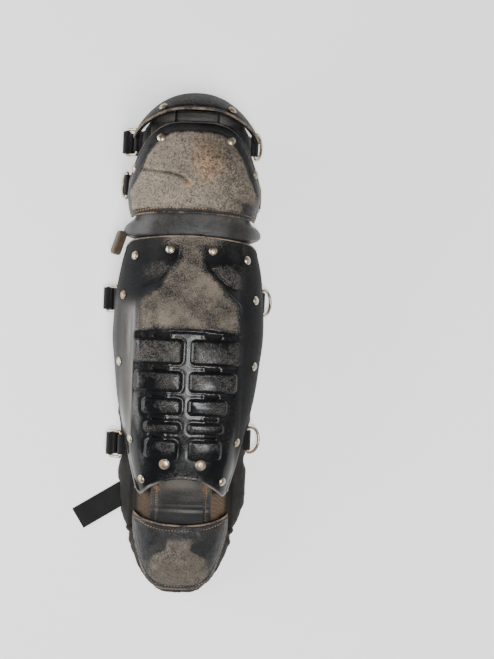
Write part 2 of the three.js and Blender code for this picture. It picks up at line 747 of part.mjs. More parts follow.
for (const row of hardware) {
  const y = startOf[row.on] + row.y * shinLength;
  const z = row.z * shinCrown;
  const half = keeperWidth / 2;
  const sideAt = sideOf[row.on];
  const low = z - keeperThickness / 2;
  const face = Math.max(sideAt(y - half, low), sideAt(y, low), sideAt(y + half, low));
  const root = face + 1.2 * seat + (keeperThickness / 2) * Math.sin(row.lean);
  const barX = root + row.reach * Math.cos(row.lean);
  const barZ = z - row.reach * Math.sin(row.lean);
  const place = (geometry, lean) => {
    geometry.rotateY(lean);
    if (row.side < 0) geometry.rotateZ(Math.PI);
    geometry.translate(row.side * barX, y, barZ);
    return geometry;
  };
  add(`keeper_${row.name}`, place(keeperGeometry(row.reach, keeperWidth), row.lean), webbing);
  add(`ring_${row.name}`, place(ringGeometry(row.ring), row.swing), nickel);
  const reach = ringDepth - 2 * wireRadius;
  rings[row.name] = {
    x: row.side * (barX + reach * Math.cos(row.swing)),
    y,
    z: barZ - reach * Math.sin(row.swing),
    side: row.side,
  };
}

// Worn tan keeper on the left, by the knee band
const tanKeeperTilt = 0.25;
const tanKeeperTurn = -0.3;
const tanKeeper = new THREE.BoxGeometry(keeperThickness, keeperWidth, tanKeeperLength);
tanKeeper.rotateY(tanKeeperTilt);
tanKeeper.rotateZ(tanKeeperTurn);
tanKeeper.translate(-bandHalfWidth - tanKeeperSet, shinTop - tanKeeperBelow, tanKeeperHeight);
add('keeper_left_3', tanKeeper, tanWebbing);

// Straps: a ribbon looped on the ring, down to the floor and in under the left rim
function ribbon(path, thickness, width) {
  const outer = [];
  const inner = [];
  path.forEach((p, i) => {
    const a = path[Math.max(0, i - 1)];
    const b = path[Math.min(path.length - 1, i + 1)];
    const normal = new THREE.Vector2(a.y - b.y, b.x - a.x).normalize();
    outer.push(p.clone().addScaledVector(normal, thickness / 2));
    inner.push(p.clone().addScaledVector(normal, -thickness / 2));
  });
  const shape = new THREE.Shape([...outer, ...inner.reverse()]);
  const geometry = new THREE.ExtrudeGeometry(shape, { depth: width, bevelEnabled: false });
  geometry.translate(0, 0, -width / 2);
  geometry.rotateX(Math.PI / 2);
  return geometry;
}
// Free end of the ankle strap, flat on the floor and out under the left ankle wing
function floorStrip(width, bottom, top) {
  const strip = new THREE.BoxGeometry(tailLength, width, top - bottom);
  strip.translate(-tailLength / 2, 0, (top + bottom) / 2);
  strip.rotateZ(tailAngle);
  strip.translate(strapThickness, rings.left_5.y - strapWidth / 2, 0);
  return strip;
}

// Plain hook at a strap's far end: a bar for the strap and a tongue
const loopReach = wireRadius + seat + strapThickness / 2 + 0.2;
function hookGeometry() {
  const inside = strapWidth / 2 + 2 * seat;
  const half = inside + hookSide;
  const slot = loopReach + strapThickness / 2 + seat;
  const shape = roundedBox(-hookBar, slot + 2 * hookBar, -half, half, hookBar);
  const tongue = roundedBox(slot + hookBar, slot + hookLength, -tongueWidth / 2, tongueWidth / 2, 2 * hookBar);
  shape.holes.push(new THREE.Path(roundedBox(hookBar, slot, -inside, inside, 1).getPoints(2)));
  const settings = { depth: hookWall, bevelEnabled: false, curveSegments: 2 };
  const frame = solid(new THREE.ExtrudeGeometry(shape, settings));
  const body = frame.add(solid(new THREE.ExtrudeGeometry(tongue, settings)));
  const geometry = geometryOf(body);
  geometry.translate(0, 0, -hookWall / 2);
  return geometry;
}

const strapNames = { left_1: 'knee_strap', left_4: 'calf_strap', left_5: 'ankle_strap' };
const loopSteps = 9;
// A loop of strap round a bar, from one angle to another
function strapLoop(x, z, startTurn, endTurn) {
  const path = [];
  for (let i = 0; i <= loopSteps; i++) {
    const turn = mix(startTurn, endTurn, i / loopSteps);
    path.push(new THREE.Vector2(x + loopReach * Math.cos(turn), z + loopReach * Math.sin(turn)));
  }
  return path;
}
for (const [key, name] of Object.entries(strapNames)) {
  const ring = rings[key];
  const floorLine = strapThickness / 2;
  const barHeight = floorLine + loopReach;
  const from = strapLoop(ring.x, ring.z, Math.PI * 1.62, Math.PI * 0.05);
  const last = from[from.length - 1];
  const down = new THREE.Vector2(last.x + 0.4 * strapThickness, Math.max(strapThickness, last.y * 0.35));
  const land = new THREE.Vector2(last.x + 2 * strapThickness, floorLine);
  const fold = strapLoop(hookReach, barHeight, -Math.PI / 2, Math.PI * 1.06);
  const geometry = ribbon([...from, down, land, ...fold], strapThickness, strapWidth - 3 * seat);
  geometry.translate(0, ring.y, 0);
  if (name === 'ankle_strap') {
    const tail = solid(floorStrip(strapWidth, 0, strapThickness));
    add(name, geometryOf(solid(geometry).add(tail)), webbing);
  } else {
    add(name, geometry, webbing);
  }
  const hook = hookGeometry();
  hook.translate(hookReach, ring.y, barHeight);
  add(name.replace('strap', 'hook'), hook, nickel);
}

// Shin and thigh pads, with the strap tunnels cut through their left rims
const tailTunnel = solid(floorStrip(strapWidth + 4 * seat, -tunnelClearance, tunnelClearance));
const shinPadBody = solid(wall(shinPad.point, 16, 15, 0, padWall, true))
  .subtract(tunnel(rings.left_4.y, shinPadHalfWidth, -shinPadHalfWidth))
  .subtract(tunnel(rings.left_5.y, shinPadHalfWidth, -shinPadHalfWidth))
  .subtract(tailTunnel);
add('shin_pad', geometryOf(shinPadBody), padding);
const thighPadBody = solid(wall(thighPad.point, 20, 6, 0, padWall, true))
  .subtract(tunnel(rings.left_1.y, thighHalfWidth, -thighHalfWidth));
add('thigh_pad', geometryOf(thighPadBody), padding);

// Stand the guard on the middle of its footprint
guard.updateMatrixWorld(true);
const box = new THREE.Box3().setFromObject(guard, true);
const middle = box.getCenter(new THREE.Vector3());
guard.position.set(-middle.x, -middle.y, -box.min.z);

export default guard;
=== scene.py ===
# %% [markdown]
# # A catcher's leg guard
# The guard lies face up on a pale floor: a moulded shin shell, a stitched knee cap and toe cap, a
# thigh plate on three tabs, and padded arches under them. The measured model says where each
# piece goes, and every finer piece made here stands in for one of its nodes.

# %% Load the measured model
import math

import bmesh
import bpy
from mathutils import Matrix, Vector, noise


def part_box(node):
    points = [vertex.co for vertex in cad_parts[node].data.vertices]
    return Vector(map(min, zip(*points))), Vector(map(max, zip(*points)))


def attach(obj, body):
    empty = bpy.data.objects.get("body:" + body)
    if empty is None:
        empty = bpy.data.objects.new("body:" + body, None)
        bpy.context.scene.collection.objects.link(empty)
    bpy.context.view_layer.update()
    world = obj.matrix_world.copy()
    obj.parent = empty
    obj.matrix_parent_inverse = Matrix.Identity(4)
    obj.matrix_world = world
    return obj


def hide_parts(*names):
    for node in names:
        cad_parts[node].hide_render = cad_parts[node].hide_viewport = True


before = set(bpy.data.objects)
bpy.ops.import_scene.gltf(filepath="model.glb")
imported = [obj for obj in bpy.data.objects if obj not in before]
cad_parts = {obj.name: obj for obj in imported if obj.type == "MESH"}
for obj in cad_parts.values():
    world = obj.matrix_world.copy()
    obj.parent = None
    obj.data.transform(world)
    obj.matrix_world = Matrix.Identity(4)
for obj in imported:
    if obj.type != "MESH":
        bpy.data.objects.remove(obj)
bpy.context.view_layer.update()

MM = 0.001
BODY = "root"

# %% [markdown]
# Shapes are worked out in millimetres round the middle of the shin shell, where x = 0 is the
# guard's axis. The shell's box says where that point lies in the model.

# %% Find the middle of the shell
SHIN_LENGTH = 256.0
shell_low, shell_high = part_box("shin_shell")
AXIS_X = (shell_low[0] + shell_high[0]) / 2
AXIS_Y = shell_high[1] - SHIN_LENGTH / 2 * MM


def put(x, y, z):
    """A place given in millimetres round the shell's middle, in metres in the frame."""
    return Vector((AXIS_X + x * MM, AXIS_Y + y * MM, z * MM))


def back(co):
    """The opposite of put: a vertex of a finished mesh in millimetres."""
    return ((co.x - AXIS_X) / MM, (co.y - AXIS_Y) / MM, co.z / MM)


print("axis", round(AXIS_X, 4), round(AXIS_Y, 4))

# %% [markdown]
# A short table holds shares of a size at stations along a piece, and a smooth curve through its
# rows gives every station between. A few small functions shape each step, ridge and fade.

# %% Tables, curves and easing
def table(keys, *rows):
    """Rows of numbers as dicts, with one key for each column."""
    return [dict(zip(keys.split(), row)) for row in rows]


def mix(a, b, t):
    return a + (b - a) * t


def ease(t):
    """0 below 0, 1 above 1 and a smooth step between."""
    t = min(1.0, max(0.0, t))
    return t * t * (3 - 2 * t)


def hump(d, width):
    """1 at 0, dying away to both sides."""
    return math.exp(-(d / width) ** 2)


def fray(x, y, scale):
    """Smooth noise over the plan, to roughen an outline."""
    return noise.noise(Vector((x, y, 0)) * scale)


def curve(rows, key):
    """A smooth function of the column at, through the column key."""
    last = len(rows) - 1

    def slope(i):
        a, b = max(0, i - 1), min(last, i + 1)
        return (rows[b][key] - rows[a][key]) / (rows[b]["at"] - rows[a]["at"])

    def value(x):
        if x <= rows[0]["at"]:
            return rows[0][key]
        if x >= rows[last]["at"]:
            return rows[last][key]
        i = next(k for k in range(last) if x <= rows[k + 1]["at"])
        span = rows[i + 1]["at"] - rows[i]["at"]
        t = (x - rows[i]["at"]) / span
        rise = rows[i + 1][key] - rows[i][key]
        left, right = slope(i) * span - rise, rise - slope(i + 1) * span
        return rows[i][key] + rise * t + t * (1 - t) * (left * (1 - t) + right * t)

    return value


def box_distance(x, y, half_x, half_y, radius):
    """Distance from the outline of a rounded box at the origin, below 0 inside it."""
    dx, dy = abs(x) - half_x + radius, abs(y) - half_y + radius
    return math.hypot(max(dx, 0), max(dy, 0)) + min(max(dx, dy), 0) - radius


def line_distance(x, y, points):
    """Distance from a line through points."""
    best = 1e9
    for (ax, ay), (bx, by) in zip(points, points[1:]):
        along = ((x - ax) * (bx - ax) + (y - ay) * (by - ay)) / ((bx - ax) ** 2 + (by - ay) ** 2)
        along = min(1.0, max(0.0, along))
        best = min(best, math.hypot(x - mix(ax, bx, along), y - mix(ay, by, along)))
    return best


print("ease(0.5) =", ease(0.5))

# %% [markdown]
# Every shell is an arch: its section is a superellipse, flatter on top and steeper at the sides
# than a circle. Columns step evenly in angle, not in x, so that the steep sides get faces too.

# %% The arch that all shells share
POWER = 2.4  # of every section but the shin shell's


def section(u, power):
    """Share of the half width and of the rise at a column from -1 to 1."""
    across = min(1.0, abs(math.sin(u * math.pi / 2)))
    return across, (1 - across ** power) ** (1 / power)


class Arch:
    """An arched surface: u runs across from -1 to 1, v along from low to high."""

    def __init__(self, half_width, crown, edge, power, low, high):
        self.half_width, self.crown, self.edge = half_width, crown, edge
        self.power, self.low, self.high = power, low, high

    def height(self, x, y):
        share = min(1.0, abs(x) / self.half_width(y))
        return mix(self.edge(y), self.crown(y), (1 - share ** self.power) ** (1 / self.power))

    def point(self, u, v):
        across, lift = section(u, self.power)
        y = mix(self.low(across), self.high(across), v)
        x = math.copysign(across, u) * self.half_width(y)
        return Vector((x, y, mix(self.edge(y), self.crown(y), lift)))


def normal_of(point, u, v, step=0.004):
    across = point(min(1, u + step), v) - point(max(-1, u - step), v)
    along = point(u, min(1, v + step)) - point(u, max(0, v - step))
    return across.cross(along).normalized()


print("arch ready")

# %% [markdown]
# The finished object keeps no live modifiers, so each is applied as soon as it is added. A piece
# is then named for its node, given its finish and tied to the body, and the node it replaces is
# hidden.

# %% Objects from meshes, modifiers and bookkeeping
STIFF_WALL, THIN_WALL = 3.0, 2.4
EDGE_ROUND, THIN_ROUND = 0.7, 0.5  # how far an outermost row sinks, for a soft edge
NEAR_EDGE = 0.9999


def new_object(name, data):
    piece = bpy.data.objects.new(name, data)
    bpy.context.scene.collection.objects.link(piece)
    return piece


def shade(piece, smooth=True):
    piece.data.polygons.foreach_set("use_smooth", [smooth] * len(piece.data.polygons))


def object_from(tool, name):
    """A new object from a bmesh."""
    mesh = bpy.data.meshes.new(name)
    tool.to_mesh(mesh)
    tool.free()
    piece = new_object(name, mesh)
    shade(piece)
    return piece


def applied_mesh(piece):
    """A mesh of the piece as its modifiers leave it."""
    depsgraph = bpy.context.evaluated_depsgraph_get()
    return bpy.data.meshes.new_from_object(piece.evaluated_get(depsgraph))


def bake_modifiers(piece):
    """Applies everything on the piece's modifier stack."""
    mesh = applied_mesh(piece)
    piece.modifiers.clear()
    piece.data = mesh
    return piece


def modify(piece, kind, **settings):
    modifier = piece.modifiers.new(kind.title(), kind)
    for key, value in settings.items():
        setattr(modifier, key, value)
    return bake_modifiers(piece)


def paint(piece, masks):
    """Stores each mask, a number or a function of x, y and z in millimetres, at every vertex."""
    places = [back(v.co) for v in piece.data.vertices]
    for name, mask in masks.items():
        layer = piece.data.attributes.new(name, "FLOAT", "POINT")
        values = [mask(*place) for place in places] if callable(mask) else [mask] * len(places)
        layer.data.foreach_set("value", values)


def finish_piece(piece, finish, slot, *nodes, **masks):
    """Gives a piece its masks, material and body, and hides the nodes it replaces. The slot is not
    used.
    """
    paint(piece, masks)
    piece.data.materials.clear()
    piece.data.materials.append(finish)
    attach(piece, BODY)
    if nodes:
        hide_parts(*nodes)
    return piece


def skin(name, point, columns, rows, relief, wall, edge_round=EDGE_ROUND):
    """A wall under a surface, raised by relief(place, u, v), with softened edges."""
    tool = bmesh.new()
    bmesh.ops.create_grid(tool, x_segments=columns, y_segments=rows, size=1)
    for vert in tool.verts:
        u, v = vert.co.x, (vert.co.y + 1) / 2
        place = point(u, v)
        out = normal_of(point, u, v)
        if max(abs(vert.co.x), abs(vert.co.y)) > NEAR_EDGE:
            place = place - out * edge_round
        vert.co = put(*(place + out * relief(place, u, v)))
    piece = object_from(tool, name)
    return modify(piece, "SOLIDIFY", thickness=wall * MM, offset=-1, use_even_offset=True)


# %% [markdown]
# ## Shader maths as expressions
# A finish is easier to read as a formula than as a net of nodes. A small class wraps a socket and
# overloads the operators, so that 1 - dirt * 0.5 adds the Math nodes by itself.

# %% Field and Finish
class Field:
    """A number that varies over a surface."""

    def __init__(self, finish, socket):
        self.finish, self.socket = finish, socket

    def math(self, operation, a, b=0.0):
        return self.finish.field(0, "ShaderNodeMath", {"operation": operation}, {0: a, 1: b})

    def __add__(self, other):
        return self.math("ADD", self, other)

    def __sub__(self, other):
        return self.math("SUBTRACT", self, other)

    def __mul__(self, other):
        return self.math("MULTIPLY", self, other)

    def __rsub__(self, other):
        return self.math("SUBTRACT", other, self)

    __radd__ = __add__

    def clamp(self):
        return self.math("MINIMUM", self.math("MAXIMUM", self, 0.0), 1.0)

    def step(self, low, high):
        """0 below low, 1 above high and smooth between."""
        return self.finish.field(
            0, "ShaderNodeMapRange", {"interpolation_type": "SMOOTHSTEP"},
            {"Value": self, "From Min": low, "From Max": high})


class Finish:
    """One procedural material."""

    def __init__(self, name, **constants):
        self.material = bpy.data.materials.new(name)
        self.material.use_nodes = True
        self.tree = self.material.node_tree
        self.shader = self.tree.nodes["Principled BSDF"]
        for key, value in constants.items():
            self.shader.inputs[key.replace("_", " ")].default_value = value
        self.where = self.node("ShaderNodeTexCoord").outputs["Object"]

    def feed(self, socket, value):
        source = getattr(value, "socket", value)
        if isinstance(source, bpy.types.NodeSocket):
            self.tree.links.new(source, socket)
        else:
            socket.default_value = source

    def node(self, kind, settings=None, inputs=None):
        made = self.tree.nodes.new(kind)
        for key, value in (settings or {}).items():
            setattr(made, key, value)
        for key, value in (inputs or {}).items():
            self.feed(made.inputs[key], value)
        return made

    def field(self, output, kind, settings=None, inputs=None):
        return Field(self, self.node(kind, settings, inputs).outputs[output])

    def texture(self, output, kind, scale, settings=None, vector=None, **inputs):
        """A pattern on the piece's own coordinates."""
        inputs = {"Vector": vector or self.where, "Scale": scale, **inputs}
        return self.field(output, "ShaderNodeTex" + kind, settings, inputs)

    def noise(self, scale, detail=3.0, rough=0.55, vector=None, distortion=0.0):
        return self.texture(
            0, "Noise", scale, None, vector, Detail=detail, Roughness=rough, Distortion=distortion)

    def cells(self, scale):
        return self.texture("Distance", "Voronoi", scale)

    def wave(self, scale, axis, distortion=0.0):
        return self.texture(1, "Wave", scale, {"bands_direction": axis}, Distortion=distortion)

    def stretched(self, grain, turn=0.0):
        """Object coordinates turned about Z, then drawn out by grain along each axis."""
        inputs = {"Vector": self.where, "Scale": grain, "Rotation": (0, 0, turn)}
        return self.node("ShaderNodeMapping", {"vector_type": "TEXTURE"}, inputs).outputs[0]

    def scratches(self, scale, turn):
        """Fine straight scratches in one direction."""
        lines = self.noise(scale, 2.0, 0.5, self.stretched((1, 28, 3), turn)) - 0.5
        return 1 - lines.math("ABSOLUTE", lines).step(0.0, 0.02)

    def mask(self, name):
        """A number painted on the piece."""
        return self.field("Fac", "ShaderNodeAttribute", {"attribute_name": name})

    def blend(self, share, a, b):
        """A colour between a and b, each three numbers or another blend."""
        a, b = (color + (1,) if isinstance(color, tuple) else color for color in (a, b))
        made = self.node("ShaderNodeMix", {"data_type": "RGBA"}, {0: share, 6: a, 7: b})
        return made.outputs[2]

    def done(self, color, rough=None, height=None, distance=None, metallic=None):
        """Feeds the shader. The bumps are as deep as distance, in metres."""
        feeds = {"Base Color": color, "Roughness": rough, "Metallic": metallic}
        if height is not None:
            bump = self.node("ShaderNodeBump", None, {"Height": height, "Distance": distance})
            feeds["Normal"] = bump.outputs[0]
        for key, value in feeds.items():
            if value is not None:
                self.feed(self.shader.inputs[key], value)
        return self.material


print("shader helpers ready")

# %% [markdown]
# ## Finishes
# The shell is glossy black polypropylene, dark and smooth where nothing rubs it, crossed by fine
# pale scratches and ground to a dull grey-brown on the raised panel. A painted mask says where it
# is rubbed, and noise breaks the mask up.

# %% Black moulded plastic
def plastic_finish(name, shine, roughness):
    f = Finish(name, Specular_IOR_Level=shine)
    scuff = f.mask("scuff")
    speckle = f.noise(900, 6, 0.72)
    cloud = f.noise(38, 4, 0.6)
    worn = (scuff * 0.85 + (speckle - 0.5) * 3.6 + (cloud - 0.5) * 1.3 - 0.38).step(0.0, 0.75)
    worn = worn * scuff.step(0.02, 0.2)
    marks = (f.scratches(700, 0.5) + f.scratches(620, -0.9) + f.scratches(800, 1.9)).clamp()
    marks = marks * (scuff * 1.5 + 0.1).clamp() * cloud.step(0.36, 0.56)
    dust = f.noise(14, 5, 0.65).step(0.45, 0.8) * 0.1
    brown = f.blend(cloud.step(0.35, 0.65), (0.12, 0.097, 0.073), (0.23, 0.186, 0.138))
    pale = f.noise(1500, 4, 0.8).step(0.5, 0.64)
    brown = f.blend(pale * 0.5, brown, (0.36, 0.315, 0.25))
    black = f.blend(dust, (0.004, 0.0045, 0.0055), (0.04, 0.034, 0.028))
    color = f.blend(worn * 0.9, black, brown)
    color = f.blend(marks * 0.45, color, (0.33, 0.3, 0.26))
    # Painted highlight: the edge mask lays a pale colour along the rims, the tips and the left
    # fold, where the light catches them.
    color = f.blend(f.mask("edge") * (0.55 + cloud * 0.7), color, (0.34, 0.31, 0.27))
    rough = roughness + worn * 0.55 + marks * 0.25 + f.mask("dull") * 0.65 + dust + cloud * 0.07
    height = speckle * worn * 1.1 - marks * 0.5 + f.noise(55, 2) * 0.3
    return f.done(color, rough.clamp(), height, 0.00035)


plastic = plastic_finish("moulded_plastic", 0.28, 0.17)
dull_plastic = plastic_finish("dull_plastic", 0.12, 0.5)
print("finishes", plastic.name, dull_plastic.name)

# %% [markdown]
# The knee cap and toe cap are black vinyl. Years on the ground have worn the middle to
# grey-brown, with black specks where the surface survives and orange spots of clay.

# %% Worn vinyl and dark vinyl
def worn_vinyl_finish():
    f = Finish("worn_vinyl", Specular_IOR_Level=0.35)
    scuff = f.mask("scuff")
    tan = f.mask("tan")
    dark = f.mask("dark")
    pebbles = f.cells(620)
    speckle = f.noise(520, 5, 0.65, distortion=0.4)
    streak = f.noise(260, 4, 0.6, f.stretched((1, 2.2, 1), 0.25))
    cloud = f.noise(30, 4, 0.6)
    grit = f.noise(1100, 5, 0.75)
    worn = (scuff + (speckle - 0.5) * 1.8 + (cloud - 0.5) * 0.5 - 0.3).step(0.0, 0.6)
    holes = (speckle * 0.5 + streak * 0.25 + grit * 0.25 + dark * 0.15 - 0.56).step(-0.03, 0.07)
    dirt = f.blend(cloud.step(0.3, 0.7), (0.25, 0.2, 0.148), (0.37, 0.3, 0.228))
    dirt = f.blend(streak.step(0.42, 0.6) * 0.45, dirt, (0.42, 0.37, 0.3))
    dirt = f.blend(grit.step(0.42, 0.62) * 0.45, dirt, (0.07, 0.056, 0.044))
    clay = (tan * (0.4 + cloud) + (speckle - 0.5) * 2.0 - 0.25).step(0.0, 0.6)
    dirt = f.blend(clay * 0.7, dirt, (0.6, 0.37, 0.2))
    black = f.blend(cloud.step(0.4, 0.75) * 0.3, (0.008, 0.008, 0.009), (0.05, 0.045, 0.04))
    color = f.blend(worn * 0.95, black, dirt)
    color = f.blend(holes * worn * 0.7, color, (0.013, 0.012, 0.012))
    flecks = (f.noise(330, 4, 0.65) * 0.8 + cloud * 0.2).step(0.5, 0.57)
    color = f.blend((flecks * dark * worn).clamp() * 0.85, color, (0.016, 0.015, 0.014))
    rough = 0.5 + worn * 0.3 + (cloud - 0.5) * 0.15 - holes * 0.12
    height = pebbles * 0.35 + speckle * 0.8 + holes * -0.5 + f.noise(60, 3) * 0.9
    return f.done(color, rough, height, 0.0005)


def vinyl_finish():
    f = Finish("dark_vinyl", Specular_IOR_Level=0.4)
    scuff = f.mask("scuff")
    tan = f.mask("tan")
    grain = f.cells(800)
    cloud = f.noise(26, 5, 0.6)
    fine = f.noise(420, 5, 0.7)
    dust = (scuff + (cloud - 0.5) * 0.9 + (fine - 0.5) * 0.7).step(0.05, 0.95)
    color = f.blend(dust * 0.75 + cloud * 0.1, (0.01, 0.0105, 0.0115), (0.12, 0.105, 0.088))
    color = f.blend(tan * fine.step(0.35, 0.6), color, (0.4, 0.2, 0.085))
    rough = 0.42 + dust * 0.3 + (fine - 0.5) * 0.15
    height = grain * 0.3 + fine * 0.5 + cloud * 0.8
    return f.done(color, rough, height, 0.0004)


worn_vinyl = worn_vinyl_finish()
dark_vinyl = vinyl_finish()
print("finishes", worn_vinyl.name, dark_vinyl.name)

# %% [markdown]
# The pads are black nylon over foam, with a spacer mesh showing tan at the instep. Webbing is a
# plain weave: two waves at right angles, one along the strap and one across it.

# %% Cloth, webbing and thread
def cloth_finish():
    f = Finish("pad_cloth", Specular_IOR_Level=0.2, Sheen_Weight=0.04)
    mesh = f.mask("mesh")
    weave = f.wave(620, "X") * f.wave(620, "Y")
    ribs = f.wave(210, "Y", 0.6)
    cloud = f.noise(30, 5, 0.6)
    fine = f.noise(300, 4, 0.7)
    lint = cloud * 0.5 + fine * 0.35 - 0.28
    color = f.blend(lint, (0.005, 0.005, 0.005), (0.05, 0.042, 0.034))
    tan = f.blend(ribs.step(0.3, 0.75), (0.03, 0.023, 0.018), (0.27, 0.165, 0.085))
    color = f.blend(mesh, color, tan)
    height = weave * 0.35 + cloud * 1.2 + ribs * mesh * 1.6 + fine * 0.4
    return f.done(color, 0.62 + fine * 0.22, height, 0.0006)


def webbing_finish(name, dark, pale, share):
    f = Finish(name, Specular_IOR_Level=0.3, Sheen_Weight=0.1)
    ribs = f.wave(330, "Y")
    picks = f.wave(420, "X", 0.3)
    cloud = f.noise(60, 4, 0.6)
    fine = f.noise(700, 3, 0.7)
    lint = cloud * 0.7 + fine * 0.5 - 0.52 + share
    color = f.blend(lint, dark, pale)
    return f.done(color, 0.6 + fine * 0.25, ribs * 0.7 + picks * 0.5 + fine * 0.2, 0.0005)


def thread_finish():
    f = Finish("dirty_thread", Specular_IOR_Level=0.25)
    twist = f.wave(900, "DIAGONAL")
    cloud = f.noise(45, 4, 0.65)
    color = f.blend(cloud.step(0.36, 0.6), (0.08, 0.06, 0.045), (0.5, 0.3, 0.17))
    return f.done(color, 0.75, twist, 0.0003)


pad_cloth = cloth_finish()
black_webbing = webbing_finish("black_webbing", (0.004, 0.004, 0.0045), (0.035, 0.033, 0.03), 0.0)
tan_webbing = webbing_finish("tan_webbing", (0.05, 0.034, 0.02), (0.27, 0.19, 0.11), 0.15)
thread = thread_finish()
print("cloth finishes ready")

# %% [markdown]
# Rivets and rings are nickel plate that has gone warm and dull, with rust in patches. The rust is
# not metal, so one noise drives colour, roughness and metalness together.

# %% Nickel and piping
def nickel_finish():
    f = Finish("worn_nickel")
    patch = f.noise(85, 5, 0.65)
    fine = f.noise(900, 4, 0.7)
    rust = (patch + f.mask("rust") + (fine - 0.5) * 0.35).step(0.58, 0.68)
    color = f.blend(patch.step(0.3, 0.6), (0.6, 0.56, 0.48), (0.36, 0.29, 0.19))
    color = f.blend(rust * 0.85, color, (0.3, 0.125, 0.05))
    rough = 0.26 + fine * 0.2 + rust * 0.4
    return f.done(color, rough, fine * 0.6 + rust * 0.6, 0.0002, metallic=1 - rust * 0.85)


def piping_finish(name, rubbed):
    f = Finish(name, Specular_IOR_Level=0.4)
    cloud = f.noise(40, 5, 0.65)
    fine = f.noise(500, 4, 0.7)
    rub = (cloud * 0.8 + fine * 0.4 - 0.505).step(0.0, 0.22)
    color = f.blend(rub * 0.8, (0.013, 0.012, 0.012), rubbed)
    return f.done(color, 0.45 + rub * 0.3, fine, 0.0003)


nickel = nickel_finish()
grey_piping = piping_finish("grey_piping", (0.12, 0.105, 0.088))
tan_piping = piping_finish("tan_piping", (0.3, 0.225, 0.155))
print("finishes", len(bpy.data.materials))

# %% [markdown]
# ## Shin shell
# The real shell is one injection moulding. Its relief is a height field on a fine grid: five
# pairs of pads beside a spine channel, an hourglass panel above them and a three-cornered field
# on each side. A height field keeps every edge soft, where joined boxes would leave sharp ones.

# %% Shin shell: sizes and section
SHIN_HALF = 81.0
SHIN_CROWN = 88.0
SHIN_EDGE = 22.0
SHIN_POWER = 2.7
CORNER = 0.86  # where a corner's rounding starts, as a share of the half width
LOW_BOW, HIGH_BOW = 0.19, 0.045  # how far the ends run on at the sides, and draw back
SHIN_ROWS = table(
    "at width crown edge",
    (-0.6, 0.53, 0.7, 1.4), (-0.57, 0.593, 0.72, 1.35), (-0.515, 0.648, 0.77, 1.3),
    (-0.45, 0.705, 0.82, 1.2), (-0.38, 0.753, 0.86, 1.15), (-0.29, 0.827, 0.915, 1.05),
    (-0.17, 0.907, 0.96, 1.0), (0.0, 0.975, 0.995, 1.0), (0.09, 1.0, 1.0, 1.0),
    (0.2, 0.99, 0.99, 1.0), (0.33, 0.95, 0.96, 1.05), (0.43, 0.885, 0.925, 1.2),
    (0.5, 0.8, 0.91, 1.3),
)


def along(rows, key, size, start=0.0, length=SHIN_LENGTH):
    """A size that follows a table's column along the guard."""
    share = curve(rows, key)
    return lambda y: size * share((y - start) / length)


def corner_round(s, size):
    """How far a corner's rounding draws an end back."""
    return size * max(0.0, (s - CORNER) / (1 - CORNER)) ** 2.5


shin = Arch(
    along(SHIN_ROWS, "width", SHIN_HALF),
    along(SHIN_ROWS, "crown", SHIN_CROWN),
    along(SHIN_ROWS, "edge", SHIN_EDGE),
    SHIN_POWER,
    lambda s: -SHIN_LENGTH / 2 * (1 + LOW_BOW * s * s) + corner_round(s, 8),
    lambda s: SHIN_LENGTH / 2 * (1 - HIGH_BOW * s * s) - corner_round(s, 5),
)
print("crown at the middle", round(shin.height(0, 0), 1))

# %% Shin shell: relief
SPINE_PADS = table(
    "at length inner outer rub",
    (0.026, 0.095, 0.064, 0.7, 0.37), (-0.095, 0.077, 0.06, 0.66, 0.24),
    (-0.197, 0.06, 0.055, 0.54, 0.17), (-0.285, 0.039, 0.055, 0.51, 0.16),
    (-0.378, 0.08, 0.086, 0.49, 0.12),
)
VENTS = table(
    "at length inner outer",
    (0.093, 0.019, 0.225, 0.442), (-0.042, 0.015, 0.242, 0.436), (-0.153, 0.013, 0.257, 0.433),
    (-0.247, 0.012, 0.262, 0.426), (-0.323, 0.011, 0.274, 0.425),
)
PANEL_ROWS = table(
    "at half",
    (26, 57), (45, 56), (58, 53), (66, 45), (77, 32), (89, 22), (101, 15), (115, 12),
    (128, 13),
)
panel_half = curve(PANEL_ROWS, "half")
FOLD_X = 57.0  # where the shell's top turns down into its flanges
GROOVE = [(24, 93), (30, 86), (38, 79), (47, 75)]
PAD_RISE, PANEL_RISE, CHEEK_RISE, RIM_RISE, END_RISE = 2.7, 1.7, 1.3, 1.3, 0.8
PAD_ROUND = 4.0
RELIEF_REACH = 6  # past this distance a pad or a vent leaves the surface alone


def row_distance(row, x, y, radius):
    """Distance from the outline of a pad or a vent."""
    inner, outer = row["inner"] * SHIN_HALF, row["outer"] * SHIN_HALF
    return box_distance(
        abs(x) - (inner + outer) / 2, y - row["at"] * SHIN_LENGTH,
        (outer - inner) / 2, row["length"] * SHIN_LENGTH / 2, radius)


def panel_depth(x, y):
    """How far inside the hourglass panel a place lies."""
    bottom = 30.8 - 4.6 * (x / 55) ** 2
    return min(y - bottom, (panel_half(y) - abs(x)) * 0.8)


def cheek_depth(x, y):
    """How far inside the three-cornered field, from its own straight sides."""
    a = abs(x)
    upper = 102.7 - y
    inner = a - 23.0 - max(0.0, (y - 96) * 0.6) - max(0.0, (90 - y) * 1.02)
    lower = (y - 71.0) * 0.92 - max(0.0, (50 - a)) * 0.5
    return min(upper, inner, lower)


